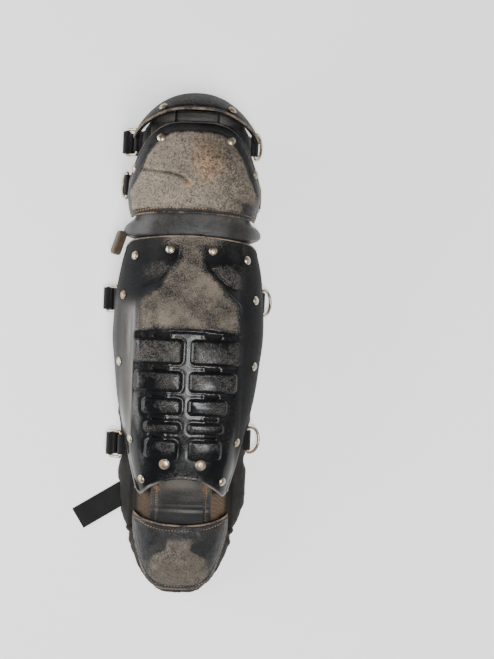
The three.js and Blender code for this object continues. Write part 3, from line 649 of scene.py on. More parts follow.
def shin_relief(place, u, v):
    x, y = place.x, place.y
    a = abs(x)
    fade = 1 - ease((a - FOLD_X + 9) / 9)
    end = ease((y / SHIN_LENGTH + 0.43) / 0.05)
    height = 0.0
    for row in SPINE_PADS:
        d = row_distance(row, x, y, PAD_ROUND)
        if d < RELIEF_REACH:
            rise = PAD_RISE * ease(-d / 2.6 + 0.35) + 0.7 * ease(-d / 9)
            height = max(height, rise * mix(0.35, 1, fade) * end)
            height -= 0.45 * hump(d - 2.0, 1.6) * fade * end
    for row in VENTS:
        d = row_distance(row, x, y, row["length"] * SHIN_LENGTH / 2)
        if d < RELIEF_REACH:
            height += 0.6 * hump(d - 2.2, 1.1)
    panel = panel_depth(x, y)
    height += PANEL_RISE * ease(panel / 2.4 + 0.5) * mix(1, ease((58 - a) / 8), ease((60 - y) / 12))
    height -= 1.1 * hump(panel + 2.4, 1.3) * ease((34 - y) / 6) * ease((58 - a) / 6)
    height += CHEEK_RISE * ease(cheek_depth(x, y) / 9 + 0.1) * ease((64 - a) / 26)
    height += 0.6 * hump(a - FOLD_X, 1.8) * ease((56 - y) / 16) * ease((y + 118) / 25)
    height -= 2.3 * hump(line_distance(a, y, GROOVE), 1.25)
    side = abs(u)
    height += RIM_RISE * ease((side - 0.955) / 0.03) * (1 - 0.4 * ease((side - 0.985) / 0.015))
    height += END_RISE * ease((v - 0.985) / 0.012) + 0.9 * ease((0.012 - v) / 0.01)
    return height + 0.35 * noise.noise(place * 0.035)


print("relief at a pad", round(shin_relief(Vector((25, 7, 88)), 0.2, 0.5), 2))

# %% [markdown]
# The vents are cut right through. Ten rounded blocks, joined in one mesh, are taken away by one
# Boolean after the wall has its thickness. The masks come last, because cutting makes new
# vertices.

# %% Shin shell: the vents' cutter
CUT_DEPTH = 30


def vent_cutter():
    """Ten upright blocks with rounded corners, one in each vent."""
    tool = bmesh.new()
    for side in (-1, 1):
        for row in VENTS:
            x = side * (row["inner"] + row["outer"]) / 2 * SHIN_HALF
            y = row["at"] * SHIN_LENGTH
            width, length = (row["outer"] - row["inner"]) * SHIN_HALF, row["length"] * SHIN_LENGTH
            spot = Matrix.Translation(put(x, y, shin.height(x, y)))
            scale = Matrix.Diagonal((width * MM, length * MM, CUT_DEPTH * MM, 1))
            made = bmesh.ops.create_cube(tool, size=1, matrix=spot @ scale)
            upright = {e for vert in made["verts"] for e in vert.link_edges
                       if abs(e.verts[0].co.z - e.verts[1].co.z) > CUT_DEPTH / 3 * MM}
            bmesh.ops.bevel(
                tool, geom=list(upright), offset=length * 0.45 * MM, affect="EDGES", segments=3,
                profile=0.5, material=-1)
    return object_from(tool, "vent_cutter")


cutter = vent_cutter()
print("cutter faces", len(cutter.data.polygons))

# %% Shin shell: where it is worn
def scuff_on_shin(x, y, z):
    if z < shin.height(x, y) - 2.2:  # the wall's inner side
        return 0.0
    inside = ease((58 - abs(x)) / 12)
    ragged = 4 * fray(x, y, 0.07)
    value = 0.98 * ease((panel_depth(x, y) + ragged) / 9 + 0.3) * inside
    top = ease((y - 112) / 12) * ease((34 - abs(x) + 2 * ragged) / 16)
    value = max(value, 0.85 * top)
    for row in SPINE_PADS:
        value = max(value, row["rub"] * ease(-row_distance(row, x, y, PAD_ROUND) / 3) * inside)
    value = max(value, 0.34 * ease(cheek_depth(x, y) / 5) * inside)
    value = max(value, 0.35 * hump(y + 127, 6) * ease((30 - abs(x)) / 20))
    return value


def shin_painted_highlight(x, y, z):
    """Painted highlights: the pale lower rims and tips, and the bright fold at the left."""
    share = abs(x) / shin.half_width(y)
    rim = 0.8 * ease((share - 0.97) / 0.01) * ease((shin.edge(y) + 6 - z) / 2)
    rim *= ease((100 - y) / 30)
    low = shin.low(min(1.0, share))
    tip = hump(y - low, 1.6) * ease((share - 0.3) / 0.3)
    out = -x - FOLD_X
    fold = 0.42 * ease(out / 1.5 + 1) * math.exp(-max(0.0, out) / 7) * ease((z - 30) / 5)
    return max(rim, 0.8 * tip, fold * ease((62 - y) / 16) * ease((y + 110) / 40))


def shin_dull(x, y, z):
    """The right flange has lost its gloss, and so have the left one's edge and shoulder."""
    shoulder = ease((y - 38) / 34) * ease((-x - 18) / 34)
    return max(ease((x - FOLD_X + 5) / 8), 0.6 * ease((-x - 66) / 8), shoulder)


print("worn at the panel", round(scuff_on_shin(0, 60, 90), 2))

# %% Shin shell: build, cut and paint
shell = skin("shin_shell_moulding", shin.point, 160, 286, shin_relief, STIFF_WALL)
modify(shell, "BOOLEAN", object=cutter, operation="DIFFERENCE", solver="MANIFOLD")
bpy.data.objects.remove(cutter)
shade(shell)
finish_piece(shell, plastic, "shell_plastic", "shin_shell",
             scuff=scuff_on_shin, edge=shin_painted_highlight, dull=shin_dull)
print("shin shell faces", len(shell.data.polygons))

# %% [markdown]
# ## Knee cap
# The knee cap is a vinyl-faced shield with a padded rim. It has piping round its edge, a row of
# stitches inside the piping and a crease where it folds over the knee.

# %% Knee cap: form and relief
KNEE_BOTTOM = SHIN_LENGTH / 2 + 23
KNEE_LENGTH = 95.0
KNEE_HALF = 69.0
KNEE_CROWN = 100.0
KNEE_EDGE = 50.0
KNEE_TOP = KNEE_BOTTOM + KNEE_LENGTH
KNEE_ROWS = table(
    "at width crown",
    (-0.05, 0.94, 0.915), (0.15, 1, 0.96), (0.45, 1, 1), (0.75, 1, 0.955), (1, 1, 0.85),
)
knee = Arch(
    along(KNEE_ROWS, "width", KNEE_HALF, KNEE_BOTTOM, KNEE_LENGTH),
    along(KNEE_ROWS, "crown", KNEE_CROWN, KNEE_BOTTOM, KNEE_LENGTH),
    lambda y: KNEE_EDGE,
    POWER,
    lambda s: KNEE_BOTTOM - 3 * s * s,
    lambda s: KNEE_TOP - 0.68 * KNEE_LENGTH * s ** 3.6,
)
KNEE_CREASE = [(-52, 194), (-38, 192), (-22, 190), (-12, 186), (-5, 181)]
CLAY_SPOTS = [
    (-22, 213, 7), (12, 190, 13), (4, 206, 16), (-8, 181, 6), (-7, 180, 5), (26, 200, 18),
    (14, 222, 18),
]


def knee_inset(x, y):
    """Distance in from the knee cap's outline."""
    s = min(1.0, abs(x) / knee.half_width(y))
    top = (knee.high(s) - y) / math.hypot(1, 3.3 * s ** 2.6)
    return min(top, y - knee.low(s), (1 - s) * KNEE_HALF + 3)


def knee_relief(place, u, v):
    x, y = place.x, place.y
    inset = knee_inset(x, y)
    rim = ease((9.5 - inset) / 2.0) * ease((y - 160) / 14)
    height = 1.5 * ease(inset / 5) + 0.7 * rim
    height -= 0.9 * hump(inset - 4.6, 1.0) * ease((168 - y) / 10)
    crease = line_distance(x, y, KNEE_CREASE)
    height -= 2.0 * hump(crease, 1.5)
    height += 0.9 * hump(crease - 4.5, 2.8)
    return height + 0.9 * noise.noise(place * 0.03) + 0.35 * noise.noise(place * 0.11)


print("knee cap spans", KNEE_BOTTOM, KNEE_TOP)

# %% Knee cap: build and paint
def scuff_on_knee(x, y, z):
    band_width = mix(2, 8.5, ease((y - 168) / 26)) + 1.5 * fray(x, y, 0.09)
    rim = ease((knee_inset(x, y) - band_width) / 6)
    crease = hump(line_distance(x, y, KNEE_CREASE), 1.3)
    ragged = 6 * fray(x, y, 0.1)
    corner = hump(x - 56 + ragged, 11) * hump(y - 158 - ragged, 10)
    return rim * (1 - 0.6 * crease) * (1 - 0.9 * corner)


def tan_on_knee(x, y, z):
    value = sum(0.45 * hump(math.hypot(x - a, y - b), size) for a, b, size in CLAY_SPOTS)
    return min(1.0, value + 0.55 * hump(y - 154, 3) * ease((20 - x) / 40))


def dark_on_knee(x, y, z):
    upper = hump(x - 30, 28) * hump(y - 214, 22)
    corner = hump(x - 50, 22) * hump(y - 172, 28)
    return 0.35 + 0.5 * upper + 0.3 * corner


cap = skin("knee_cap_face", knee.point, 110, 90, knee_relief, STIFF_WALL)
finish_piece(cap, worn_vinyl, "worn_vinyl", "knee_cap",
             scuff=scuff_on_knee, tan=tan_on_knee, dark=dark_on_knee)
print("knee cap faces", len(cap.data.polygons))

# %% [markdown]
# Piping is a round cord sewn into an edge, and a stitch is a short sunk length of thread. Piping
# becomes a bevelled curve along a line on the surface, and each stitch a small sphere drawn out
# along it.

# %% Piping and stitches
STITCH_PITCH, STITCH_LENGTH, STITCH_WIDTH = 3.4, 2.5, 0.84


def tube(name, points, radius, finish, closed=False):
    """A round cord along points."""
    data = bpy.data.curves.new(name, "CURVE")
    data.dimensions = "3D"
    data.bevel_depth = radius * MM
    data.bevel_resolution = 3
    data.use_fill_caps = True
    spline = data.splines.new("POLY")
    spline.points.add(len(points) - 1)
    for spot, place in zip(spline.points, points):
        spot.co = (*put(*place), 1)
    spline.use_cyclic_u = closed
    line = new_object(name + "_curve", data)
    mesh = applied_mesh(line)
    bpy.data.objects.remove(line)
    piece = new_object(name, mesh)
    shade(piece)
    return finish_piece(piece, finish, "vinyl")


def stitches(name, points, slot="vinyl"):
    """Short lengths of thread, one each pitch along points."""
    tool = bmesh.new()
    size = Matrix.Diagonal((STITCH_LENGTH * MM, STITCH_WIDTH * MM, STITCH_WIDTH * MM, 1))
    left = STITCH_PITCH / 2
    for a, b in zip(points, points[1:]):
        step = b - a
        while left < step.length:
            middle = a + step * (left / step.length)
            turn = step.to_track_quat("X", "Z").to_matrix().to_4x4()
            bmesh.ops.create_uvsphere(
                tool, u_segments=8, v_segments=5, radius=0.5,
                matrix=Matrix.Translation(put(*middle)) @ turn @ size)
            left += STITCH_PITCH
        left -= step.length
    return finish_piece(object_from(tool, name), thread, slot)


def on_surface(point, relief, u, v, lift):
    place = point(u, v)
    return place + normal_of(point, u, v) * (relief(place, u, v) + lift)


def edge_line(point, relief, lift, count=90):
    """A line round a form's edge, starting at its lower left corner."""
    corners = [(-1, 0), (1, 0), (1, 1), (-1, 1), (-1, 0)]
    return [on_surface(point, relief, mix(u0, u1, i / count), mix(v0, v1, i / count), lift)
            for (u0, v0), (u1, v1) in zip(corners, corners[1:]) for i in range(count)]


def row_line(point, relief, v, end, lift=0.15, count=80):
    """A line across a form at one v, from -end to end."""
    return [on_surface(point, relief, mix(-end, end, i / count), v, lift)
            for i in range(count + 1)]


tube("knee_cap_piping", edge_line(knee.point, knee_relief, -0.7), 1.15, grey_piping, closed=True)
tube("knee_cap_welt", row_line(knee.point, knee_relief, 0.005, 0.97, 0.1), 0.9, tan_piping)
stitches("knee_cap_stitches", row_line(knee.point, knee_relief, 0.052, 0.93))

# %% [markdown]
# ## Knee band
# A strip of plain vinyl joins the shell to the knee cap and lets the knee bend. It bulges out at
# the sides, where it has nothing to hold it. Its face is left bare.

# %% Knee band
BAND_LOW = SHIN_LENGTH / 2 - 4
BAND_HIGH = KNEE_BOTTOM + 4
BAND_ROWS = table(
    "at width edge",
    (0, 0.76, 0.44), (0.15, 0.93, 0.3), (0.32, 1, 0.17), (0.55, 0.97, 0.2), (0.74, 0.84, 0.4),
    (1, 0.8, 0.52),
)
BAND_SPAN = BAND_HIGH - BAND_LOW
BAND_HALF = 76.0
BAND_SET = 4.9  # how far below the shell and the knee cap its ends lie
band_low_crown = shin.height(0, BAND_LOW) - BAND_SET
band_high_crown = knee.height(0, BAND_HIGH) - BAND_SET
band = Arch(
    along(BAND_ROWS, "width", BAND_HALF, BAND_LOW, BAND_SPAN),
    lambda y: mix(band_low_crown, band_high_crown, (y - BAND_LOW) / BAND_SPAN),
    along(BAND_ROWS, "edge", SHIN_CROWN, BAND_LOW, BAND_SPAN),
    POWER,
    lambda s: BAND_LOW,
    lambda s: BAND_HIGH,
)


def band_relief(place, u, v):
    sag = -0.9 * math.sin(math.pi * v)
    return sag + 0.5 * noise.noise(place * 0.06) + 0.2 * noise.noise(place * 0.2)


knee_band = skin("knee_band_strip", band.point, 90, 26, band_relief, THIN_WALL)
finish_piece(knee_band, dark_vinyl, "vinyl", "knee_band",
             scuff=lambda x, y, z: 0.1 + 0.25 * hump(y - BAND_HIGH + 8, 5), tan=0.0)
welt = row_line(shin.point, shin_relief, 0.998, 0.93, 0.2, 120)
tube("knee_band_welt", welt, 0.8, tan_piping)
print("band faces", len(knee_band.data.polygons))

# %% [markdown]
# ## Thigh plate and its tabs
# A bent strip of the same plastic guards the thigh. Its lower edge is rolled, stands above the
# knee cap and rides on three tabs, which the knee rivets pin under the cap.

# %% Thigh plate
THIGH_BOTTOM = KNEE_TOP + 11
THIGH_LENGTH = 25.0
THIGH_TOP = THIGH_BOTTOM + THIGH_LENGTH
THIGH_HALF = 66.0
THIGH_CROWN = 97.0
THIGH_EDGE = 44.0


def thigh_ends(a):
    """Where the plate's lower and upper edges lie at a share of the half width."""
    low = THIGH_BOTTOM - 0.92 * THIGH_LENGTH * a ** 2.6
    return low, THIGH_TOP - 1.44 * THIGH_LENGTH * a ** 2.3


def thigh_lift(lift, v):
    """Height at a share of the rise: the plate leans back from its lower to its upper edge."""
    low = mix(THIGH_EDGE, THIGH_CROWN, lift)
    high = mix(THIGH_EDGE * 0.8, THIGH_CROWN * 0.62, lift)
    return mix(low, high, v) + 0.06 * THIGH_CROWN * math.sin(math.pi * v) * lift


def thigh_point(u, v):
    a, lift = section(u, POWER)
    low, high = thigh_ends(a)
    x = math.copysign(a, u) * THIGH_HALF * mix(1, 0.97, v)
    return Vector((x, mix(low, high, v), thigh_lift(lift, v)))


def thigh_height(x, y):
    a = min(1.0, abs(x) / THIGH_HALF)
    low, high = thigh_ends(a)
    v = min(1.0, max(0.0, (y - low) / (high - low)))
    return thigh_lift((1 - a ** POWER) ** (1 / POWER), v)


def thigh_relief(place, u, v):
    roll = 1.5 * hump(v - 0.05, 0.06) - 0.7 * hump(v - 0.19, 0.05)
    return roll + 0.5 * noise.noise(place * 0.04)


def scuff_on_thigh(x, y, z):
    low, high = thigh_ends(min(1.0, abs(x) / THIGH_HALF))
    v = (y - low) / (high - low)
    streak = 0.5 + 0.5 * noise.noise(Vector((x * 0.03, y * 0.16, 0)))
    return 0.62 * streak + 0.4 * hump(v - 0.05, 0.09)


plate = skin("thigh_plate_moulding", thigh_point, 120, 46, thigh_relief, STIFF_WALL)
finish_piece(plate, dull_plastic, "shell_plastic", "thigh_plate",
             scuff=scuff_on_thigh, edge=0.0, dull=0.0)
lip = row_line(thigh_point, thigh_relief, 0.015, 0.99, -0.2, 120)
tube("thigh_plate_lip", lip, 1.3, tan_piping)
print("thigh plate faces", len(plate.data.polygons))

# %% Tabs between the thigh plate and the knee cap
TABS = table(
    "name middle width drop low",
    ("thigh_tab_left", -35.5, 25, 0, KNEE_TOP - 20),
    ("thigh_tab_right", 35.5, 25, 0, KNEE_TOP - 20),
    ("thigh_tab_middle", 0, 45, 2.5, KNEE_TOP - 8),
)
UNDER_KNEE, UNDER_THIGH = 4.8, 14.4


def tab_point(row):
    """A strip from under the knee cap's top to under the thigh plate."""
    def point(u, v):
        x = row["middle"] + u * row["width"] / 2
        y = mix(row["low"], THIGH_BOTTOM + 2, v)
        share = ease((y - (KNEE_TOP - 6)) / 12)
        below = knee.height(x, min(y, KNEE_TOP)) - UNDER_KNEE
        above = thigh_height(x, max(y, THIGH_BOTTOM - 8)) - UNDER_THIGH
        return Vector((x, y, mix(below, above, share) - row["drop"]))

    return point


def tab_relief(place, u, v):
    return 0.3 * noise.noise(place * 0.12)


for row in TABS:
    strip = row["name"] + "_strip"
    tab = skin(strip, tab_point(row), 22, 34, tab_relief, THIN_WALL, THIN_ROUND)
    finish_piece(tab, dark_vinyl, "vinyl", row["name"], scuff=0.3, tan=0.0)
print("tabs", len(TABS))

# %% [markdown]
# ## Ankle tab and toe cap
# A hinge of stitched vinyl hangs from the shell and carries the toe cap. The toe cap is vinyl
# over a stiff core, with a raised patch at its tip. The patch is left bare.

# %% Ankle tab
SHIN_BOTTOM = -SHIN_LENGTH / 2
TOE_TOP = SHIN_BOTTOM - 53
ANKLE_LOW, ANKLE_HIGH = TOE_TOP - 9, SHIN_BOTTOM + 7
ANKLE_ROWS = table(
    "at drop",
    (0, 1), (0.2, 0.965), (0.5, 0.84), (0.8, 0.715), (1, 0.645),
)
ankle_drop = curve(ANKLE_ROWS, "drop")
ANKLE_HALF = 33.0
ANKLE_CROWN = 64.0
SEAM_X = 27.0


def ankle_point(u, v):
    y = mix(ANKLE_LOW, ANKLE_HIGH, v)
    z = ANKLE_CROWN * (ankle_drop((ANKLE_HIGH - y) / (ANKLE_HIGH - ANKLE_LOW)) - 0.08 * u * u)
    return Vector((u * ANKLE_HALF, y, z))


def ankle_relief(place, u, v):
    seam = abs(abs(place.x) - SEAM_X)
    fold = 1.3 * hump(place.y + 163, 2.2) + 0.8 * hump(place.y + 157, 2.0)
    height = 0.9 * ease((SEAM_X - abs(place.x)) / 2.5) - 0.7 * hump(seam, 0.8) - fold
    height += 0.5 * noise.noise(Vector((place.x * 0.03, place.y * 0.12, 0)))
    return height - 0.4


# Painted light: the tab is paler across its top and darker below, where it runs under the toe cap.
# The even share all over is wear.
def ankle_wear_and_painted_light(x, y, z):
    return 0.32 + 0.5 * hump(x, 16) * hump(y + 134, 6) - 0.25 * ease((-y - 160) / 10)


def ankle_tan(x, y, z):
    return 0.45 * hump(abs(x) - 26, 3.5) * hump(y + 139, 5)


ankle = skin("ankle_tab_leaf", ankle_point, 60, 60, ankle_relief, THIN_WALL, THIN_ROUND)
finish_piece(ankle, dark_vinyl, "vinyl", "ankle_tab", scuff=ankle_wear_and_painted_light, tan=ankle_tan)
for side, word in ((-1, "left"), (1, "right")):
    u = side * SEAM_X / ANKLE_HALF
    seam = [on_surface(ankle_point, ankle_relief, u, i / 50, 0.2) for i in range(51)]
    stitches(f"ankle_stitches_{word}", seam)
print("ankle faces", len(ankle.data.polygons))

# %% Toe cap
TOE_LENGTH = 75.0
TOE_BOTTOM = TOE_TOP - TOE_LENGTH
TOE_HALF = 52.0
TOE_CROWN = 49.0
TOE_EDGE = 18.0


def toe_ends(a):
    return TOE_BOTTOM + 0.88 * TOE_LENGTH * a ** 4, TOE_TOP + 0.13 * TOE_LENGTH * a ** 2.5


def toe_point(u, v):
    a, lift = section(u, POWER)
    low, high = toe_ends(a)
    z = mix(TOE_EDGE, (1 - 0.6 * (1 - v) ** 1.8) * TOE_CROWN, lift)
    return Vector((math.copysign(a, u) * TOE_HALF, mix(low, high, v), z))


def toe_inset(x, y):
    a = min(1.0, abs(x) / TOE_HALF)
    low, high = toe_ends(a)
    return min(high - y, (y - low) / math.hypot(1, 4.4 * a ** 3), (1 - a) * TOE_HALF + 2.5)


def patch_depth(x, y):
    """How far inside the raised patch at the toe."""
    half = mix(14, 31, ease((-205 - y) / 15))
    return min(half - abs(x), -195 - y, toe_inset(x, y) - 7)


def toe_relief(place, u, v):
    inset = toe_inset(place.x, place.y)
    height = 1.3 * ease(inset / 5) - 0.7 * hump(inset - 4.8, 0.9)
    height += ease(patch_depth(place.x, place.y) / 2.2)
    return height + 0.5 * noise.noise(place * 0.05) + 0.25 * noise.noise(place * 0.16)


def toe_scuff(x, y, z):
    inset = toe_inset(x, y)
    ragged = 2.5 * fray(x, y, 0.1)
    patch = 0.62 * ease((patch_depth(x, y) + ragged) / 6 + 0.3)
    lower = 0.55 * ease((-212 - y) / 34) * ease((inset - 3) / 6)
    return (0.12 + max(patch, lower)) * ease((inset - 1) / 3)


toe = skin("toe_cap_face", toe_point, 96, 84, toe_relief, STIFF_WALL)
finish_piece(toe, worn_vinyl, "worn_vinyl", "toe_cap", scuff=toe_scuff,
             tan=lambda x, y, z: 0.35 * hump(toe_inset(x, y) - 3, 2) - 0.1,
             dark=lambda x, y, z: 0.75 + 0.45 * fray(x, y, 0.12))
tube("toe_cap_piping", edge_line(toe_point, toe_relief, -0.7), 1.1, tan_piping, closed=True)
lower = row_line(toe_point, toe_relief, 0.062, 0.9, 0.15, 160)
stitches("toe_cap_stitches", lower, slot="worn_vinyl")
upper = row_line(toe_point, toe_relief, 0.93, 0.9)
stitches("toe_cap_top_stitches", upper, slot="worn_vinyl")
print("toe cap faces", len(toe.data.polygons))

# %% [markdown]
# ## Pads
# Each pad is foam in a cloth bag, bent into an arch. The measured solid is remeshed into small
# even faces, and a short cloth simulation with air pressure inside swells it. A cap keeps any
# point from moving far, and the rims are pressed flat on the floor again. Seams and wrinkles come
# last, because remeshing would erase them.

# %% Pads: the cushion recipe
PRESSURE = 3.0
LAST_FRAME = 12
CAP = 1.2 * MM  # no point moves further than this
FLAT_BELOW = 1.3 * MM  # what lies lower is pressed flat on the floor


def merged_copy(node, name):
    """A new object from a measured node, with its loose triangles joined."""
    tool = bmesh.new()
    tool.from_mesh(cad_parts[node].data)
    bmesh.ops.remove_doubles(tool, verts=tool.verts, dist=0.00001)
    return object_from(tool, name)


def swell(piece):
    """A few frames of cloth under pressure, with what rests on the floor held there."""
    start = [v.co.copy() for v in piece.data.vertices]
    settings = piece.modifiers.new("Cloth", "CLOTH").settings
    settings.use_pressure = True
    settings.uniform_pressure_force = PRESSURE
    settings.effector_weights.gravity = 0
    settings.quality = 4
    scene = bpy.context.scene
    for number in range(1, LAST_FRAME + 1):
        scene.frame_set(number)
    bake_modifiers(piece)
    scene.frame_set(1)
    for vert, old in zip(piece.data.vertices, start):
        move = vert.co - old
        if move.length > CAP:
            vert.co = old + move.normalized() * CAP
        if old.z < 2 * MM:
            vert.co = old


def pad(node, voxel):
    piece = merged_copy(node, node + "_cushion")
    modify(piece, "REMESH", mode="VOXEL", voxel_size=voxel * MM)
    modify(piece, "SMOOTH", iterations=4, factor=0.5)
    swell(piece)
    modify(piece, "SUBSURF", levels=1, render_levels=1)
    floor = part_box(node)[0][2]
    places = []
    for vert in piece.data.vertices:
        place = vert.co + vert.normal * (0.5 + wrinkles(*back(vert.co))) * MM
        if place.z < floor + FLAT_BELOW:
            place.z = mix(place.z, floor, 0.85)
        places.extend((place.x, place.y, max(place.z, floor)))
    piece.data.vertices.foreach_set("co", places)
    shade(piece)
    return piece


def mesh_zone(x, y, z):
    """Where the spacer mesh shows beside the ankle tab."""
    band_zone = ease((abs(x) - 30) / 2) * ease((50 - abs(x)) / 5)
    return band_zone * ease((y + 186) / 4) * ease((-144 - y) / 6) * mix(0.45, 1, ease(x / 10))


def wrinkles(x, y, z):
    """Folds and seams in the cover, and the bulge of the ankle wings and the sole."""
    fold = 0.9 * noise.noise(Vector((x * 0.05, y * 0.09, z * 0.05)))
    crumple = 0.25 * noise.noise(Vector((x, y, z)) * 0.17)
    seam = -1.1 * hump(abs(x) - 51, 1.1) * ease((-128 - y) / 8) * ease(z / 8)
    wing = 5.0 * ease((abs(x) - 44) / 10) * ease((-104 - y) / 24) * ease((y + 198) / 8)
    sole = 3.2 * ease((-196 - y) / 10) * ease((abs(x) / 60 - y / 250 - 0.9) / 0.2)
    return fold + crumple + seam + wing + sole


VOXELS = {"shin_pad": 4.0, "knee_pad": 4.0, "thigh_pad": 4.0, "toe_pad": 2.4}
for node, voxel in VOXELS.items():
    cushion = pad(node, voxel)
    finish_piece(cushion, pad_cloth, "padding", node, mesh=mesh_zone)
    print(node, "faces", len(cushion.data.polygons))

# %% [markdown]
# ## Rivets
# Each rivet has a domed head with a narrow rim. Its profile is spun round its own axis and set
# square to the surface, where the measured one sits.

# %% Rivets
RIVET_RADIUS, BIG_RADIUS = 4.7, 5.8
RIVET_HEIGHT = 2.3
PROFILE = [
    (0, 1), (0.35, 0.97), (0.66, 0.8), (0.84, 0.5), (0.9, 0.28), (0.985, 0.3), (1.0, 0.12),
    (0.96, 0), (0, 0),
]


def rivet_head(radius):
    tool = bmesh.new()
    verts = [tool.verts.new((share * radius * MM, 0, rise * RIVET_HEIGHT * MM))
             for share, rise in PROFILE]
    edges = [tool.edges.new(pair) for pair in zip(verts, verts[1:])]
    bmesh.ops.spin(
        tool, geom=verts + edges, cent=(0, 0, 0), axis=(0, 0, 1), dvec=(0, 0, 0),
        angle=2 * math.pi, steps=28, use_merge=True, use_duplicate=False)
    bmesh.ops.remove_doubles(tool, verts=tool.verts, dist=0.000005)
    bmesh.ops.recalc_face_normals(tool, faces=tool.faces)
    return tool


def rivet(node, height_at, x, y, radius=RIVET_RADIUS, lift=0.0):
    """A head in place of node, square to the surface at x and y."""
    step = 0.5
    across = Vector((2 * step, 0, height_at(x + step, y) - height_at(x - step, y)))
    lengthwise = Vector((0, 2 * step, height_at(x, y + step) - height_at(x, y - step)))
    out = across.cross(lengthwise).normalized()
    tool = rivet_head(radius)
    base = Vector((x, y, height_at(x, y))) + out * (0.1 + lift)
    turn = out.to_track_quat("Z", "Y").to_matrix().to_4x4()
    bmesh.ops.transform(tool, matrix=Matrix.Translation(put(*base)) @ turn, verts=tool.verts)
    masks = {}
    if node == "shin_rivet_left_7":
        masks["rust"] = lambda at_x, at_y, at_z: 0.3 * ease((x - 1 - at_x) / 3)
    finish_piece(object_from(tool, node + "_head"), nickel, "nickel", node, **masks)


SHIN_RIVETS = [
    (0.275, 0.443), (0.73, 0.414), (0.865, 0.25), (0.885, -0.025), (0.7, -0.345), (0.53, -0.51),
    (0.235, -0.438),
]
KNEE_RIVETS = [(0.52, 0.8), (0.9, 0.47)]
THIGH_RIVET_X = 35.5
for side, word in ((-1, "left"), (1, "right")):
    for i, (x, y) in enumerate(SHIN_RIVETS, 1):
        radius = BIG_RADIUS if i == len(SHIN_RIVETS) else RIVET_RADIUS
        rivet(f"shin_rivet_{word}_{i}", shin.height, side * x * SHIN_HALF, y * SHIN_LENGTH, radius)
    for i, (x, y) in enumerate(KNEE_RIVETS, 1):
        rivet(f"knee_rivet_{word}_{i}", knee.height, side * x * KNEE_HALF,
              KNEE_BOTTOM + y * KNEE_LENGTH, lift=1.2)
    rivet(f"thigh_rivet_{word}", thigh_height, side * THIGH_RIVET_X, THIGH_BOTTOM + 3, lift=0.6)

# %% [markdown]
# ## Rings, keepers, straps and hooks
# These are right in shape already, and only their coarse faces would show. A subdivision surface
# turns the five-sided ring wire round, and a small bevel softens the edges of the webbing and the
# hooks.

# %% Hardware and webbing
RING_SHRINK = 0.35  # how much a subdivision surface takes off the wire
FOLD_SWELL = 2.6  # how much thicker the folded tan webbing is than its measured block
KINDS = [
    # part of a node's name, finish, slot and bevel
    ("ring_", nickel, "nickel", None),
    ("keeper_left_3", tan_webbing, "tan_webbing", 1.2),
    ("keeper_", black_webbing, "webbing", 0.5),
    ("_strap", black_webbing, "webbing", 0.4),
    ("_hook", nickel, "nickel", 0.3),
]


def rounded(node, finish, slot, bevel):
    piece = merged_copy(node, node + "_fine")
    if bevel:
        modify(piece, "BEVEL", limit_method="ANGLE", width=bevel * MM, segments=2)
    else:
        modify(piece, "SUBSURF", levels=2, render_levels=2)
        modify(piece, "DISPLACE", strength=RING_SHRINK * MM, mid_level=0)
    shade(piece, not bevel)
    return finish_piece(piece, finish, slot, node)


for node in sorted(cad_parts):
    kind = next((kind for kind in KINDS if kind[0] in node), None)
    if kind:
        piece = rounded(node, *kind[1:])
        if piece.name.startswith("keeper_left_3"):
            modify(piece, "DISPLACE", strength=FOLD_SWELL * MM, mid_level=0)

# %% [markdown]
# ## Floor, light and camera
# The photograph looks straight down, a little to one side, on a white ground. A long lamp over
# the guard makes the gloss on the spine and the pads, and a low, wide light at the left draws the
# glow down the left flange. The right side gets only a faint fill.

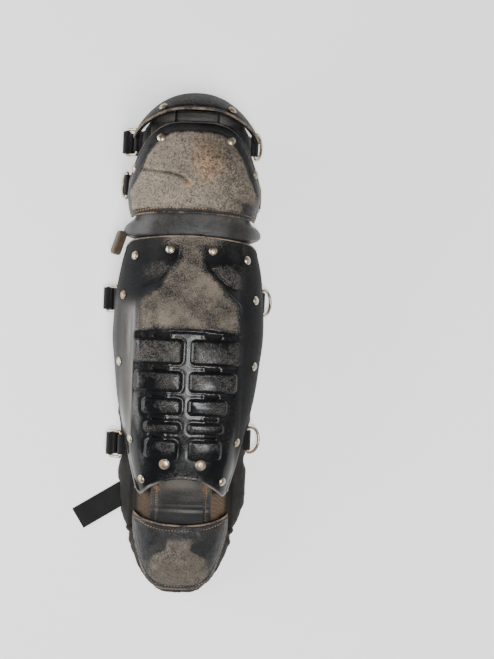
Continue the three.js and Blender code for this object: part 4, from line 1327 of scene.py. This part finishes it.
# %% Floor and lights
FLOOR_GLOW = 0.7  # stands in for the bright table that the guard was photographed on
ROOM_GLOW = 0.22
LIGHTS = [
    # name, place, size and power
    ("lamp", (0.26, -0.42, 1.75), (0.42, 1.1), 36),
    ("window", (-1.3, 0.0, 0.42), (1.3, 0.45), 20),
    ("fill", (1.2, 0.3, 0.9), (0.5, 0.5), 1.0),
]


def floor_finish():
    f = Finish("pale_floor", Roughness=0.9, Specular_IOR_Level=0.1, Emission_Strength=FLOOR_GLOW)
    f.shader.inputs["Emission Color"].default_value = (1, 1, 1, 1)
    tint = f.noise(3, 2)
    return f.done(f.blend(tint, (0.86, 0.86, 0.86), (0.9, 0.9, 0.9)))


def area_light(name, place, size, power):
    """A rectangular lamp that points at the middle of the guard."""
    data = bpy.data.lights.new(name, "AREA")
    data.shape = "RECTANGLE"
    data.size, data.size_y = size
    data.energy = power
    light = new_object(name, data)
    light.location = place
    aim = Vector((AXIS_X, AXIS_Y, 0.05)) - Vector(place)
    light.rotation_euler = aim.to_track_quat("-Z", "Y").to_euler()


tool = bmesh.new()
lower = Matrix.Translation((0, 0, -0.2 * MM))
bmesh.ops.create_grid(tool, x_segments=1, y_segments=1, size=3, matrix=lower)
floor = object_from(tool, "floor")
floor.data.materials.append(floor_finish())
for row in LIGHTS:
    area_light(*row)
world = bpy.data.worlds.new("pale_room")
world.use_nodes = True
backdrop = world.node_tree.nodes["Background"]
backdrop.inputs["Color"].default_value = (1, 1, 1, 1)
backdrop.inputs["Strength"].default_value = ROOM_GLOW
bpy.context.scene.world = world
print("lights", len(bpy.data.lights))

# %% Camera
CAMERA_HEIGHT = 1200.0
EYE_RIGHT = 4.4
AIM_RIGHT = 65.4
CAMERA_Y = 33.0
LEAN = math.radians(2.5)
LENS = 58.5
camera = new_object("camera", bpy.data.cameras.new("camera"))
camera.data.lens = LENS
eye = put(EYE_RIGHT, CAMERA_Y, CAMERA_HEIGHT)
aim = put(AIM_RIGHT, CAMERA_Y, 0.0)
look = (aim - eye).normalized()
up = Vector((-math.sin(LEAN), math.cos(LEAN), 0))
right = look.cross(up).normalized()
up = right.cross(look)
turn = Matrix((right, up, -look)).transposed().to_4x4()
camera.matrix_world = Matrix.Translation(eye) @ turn
bpy.context.scene.camera = camera
print("camera looks down from", CAMERA_HEIGHT, "mm")
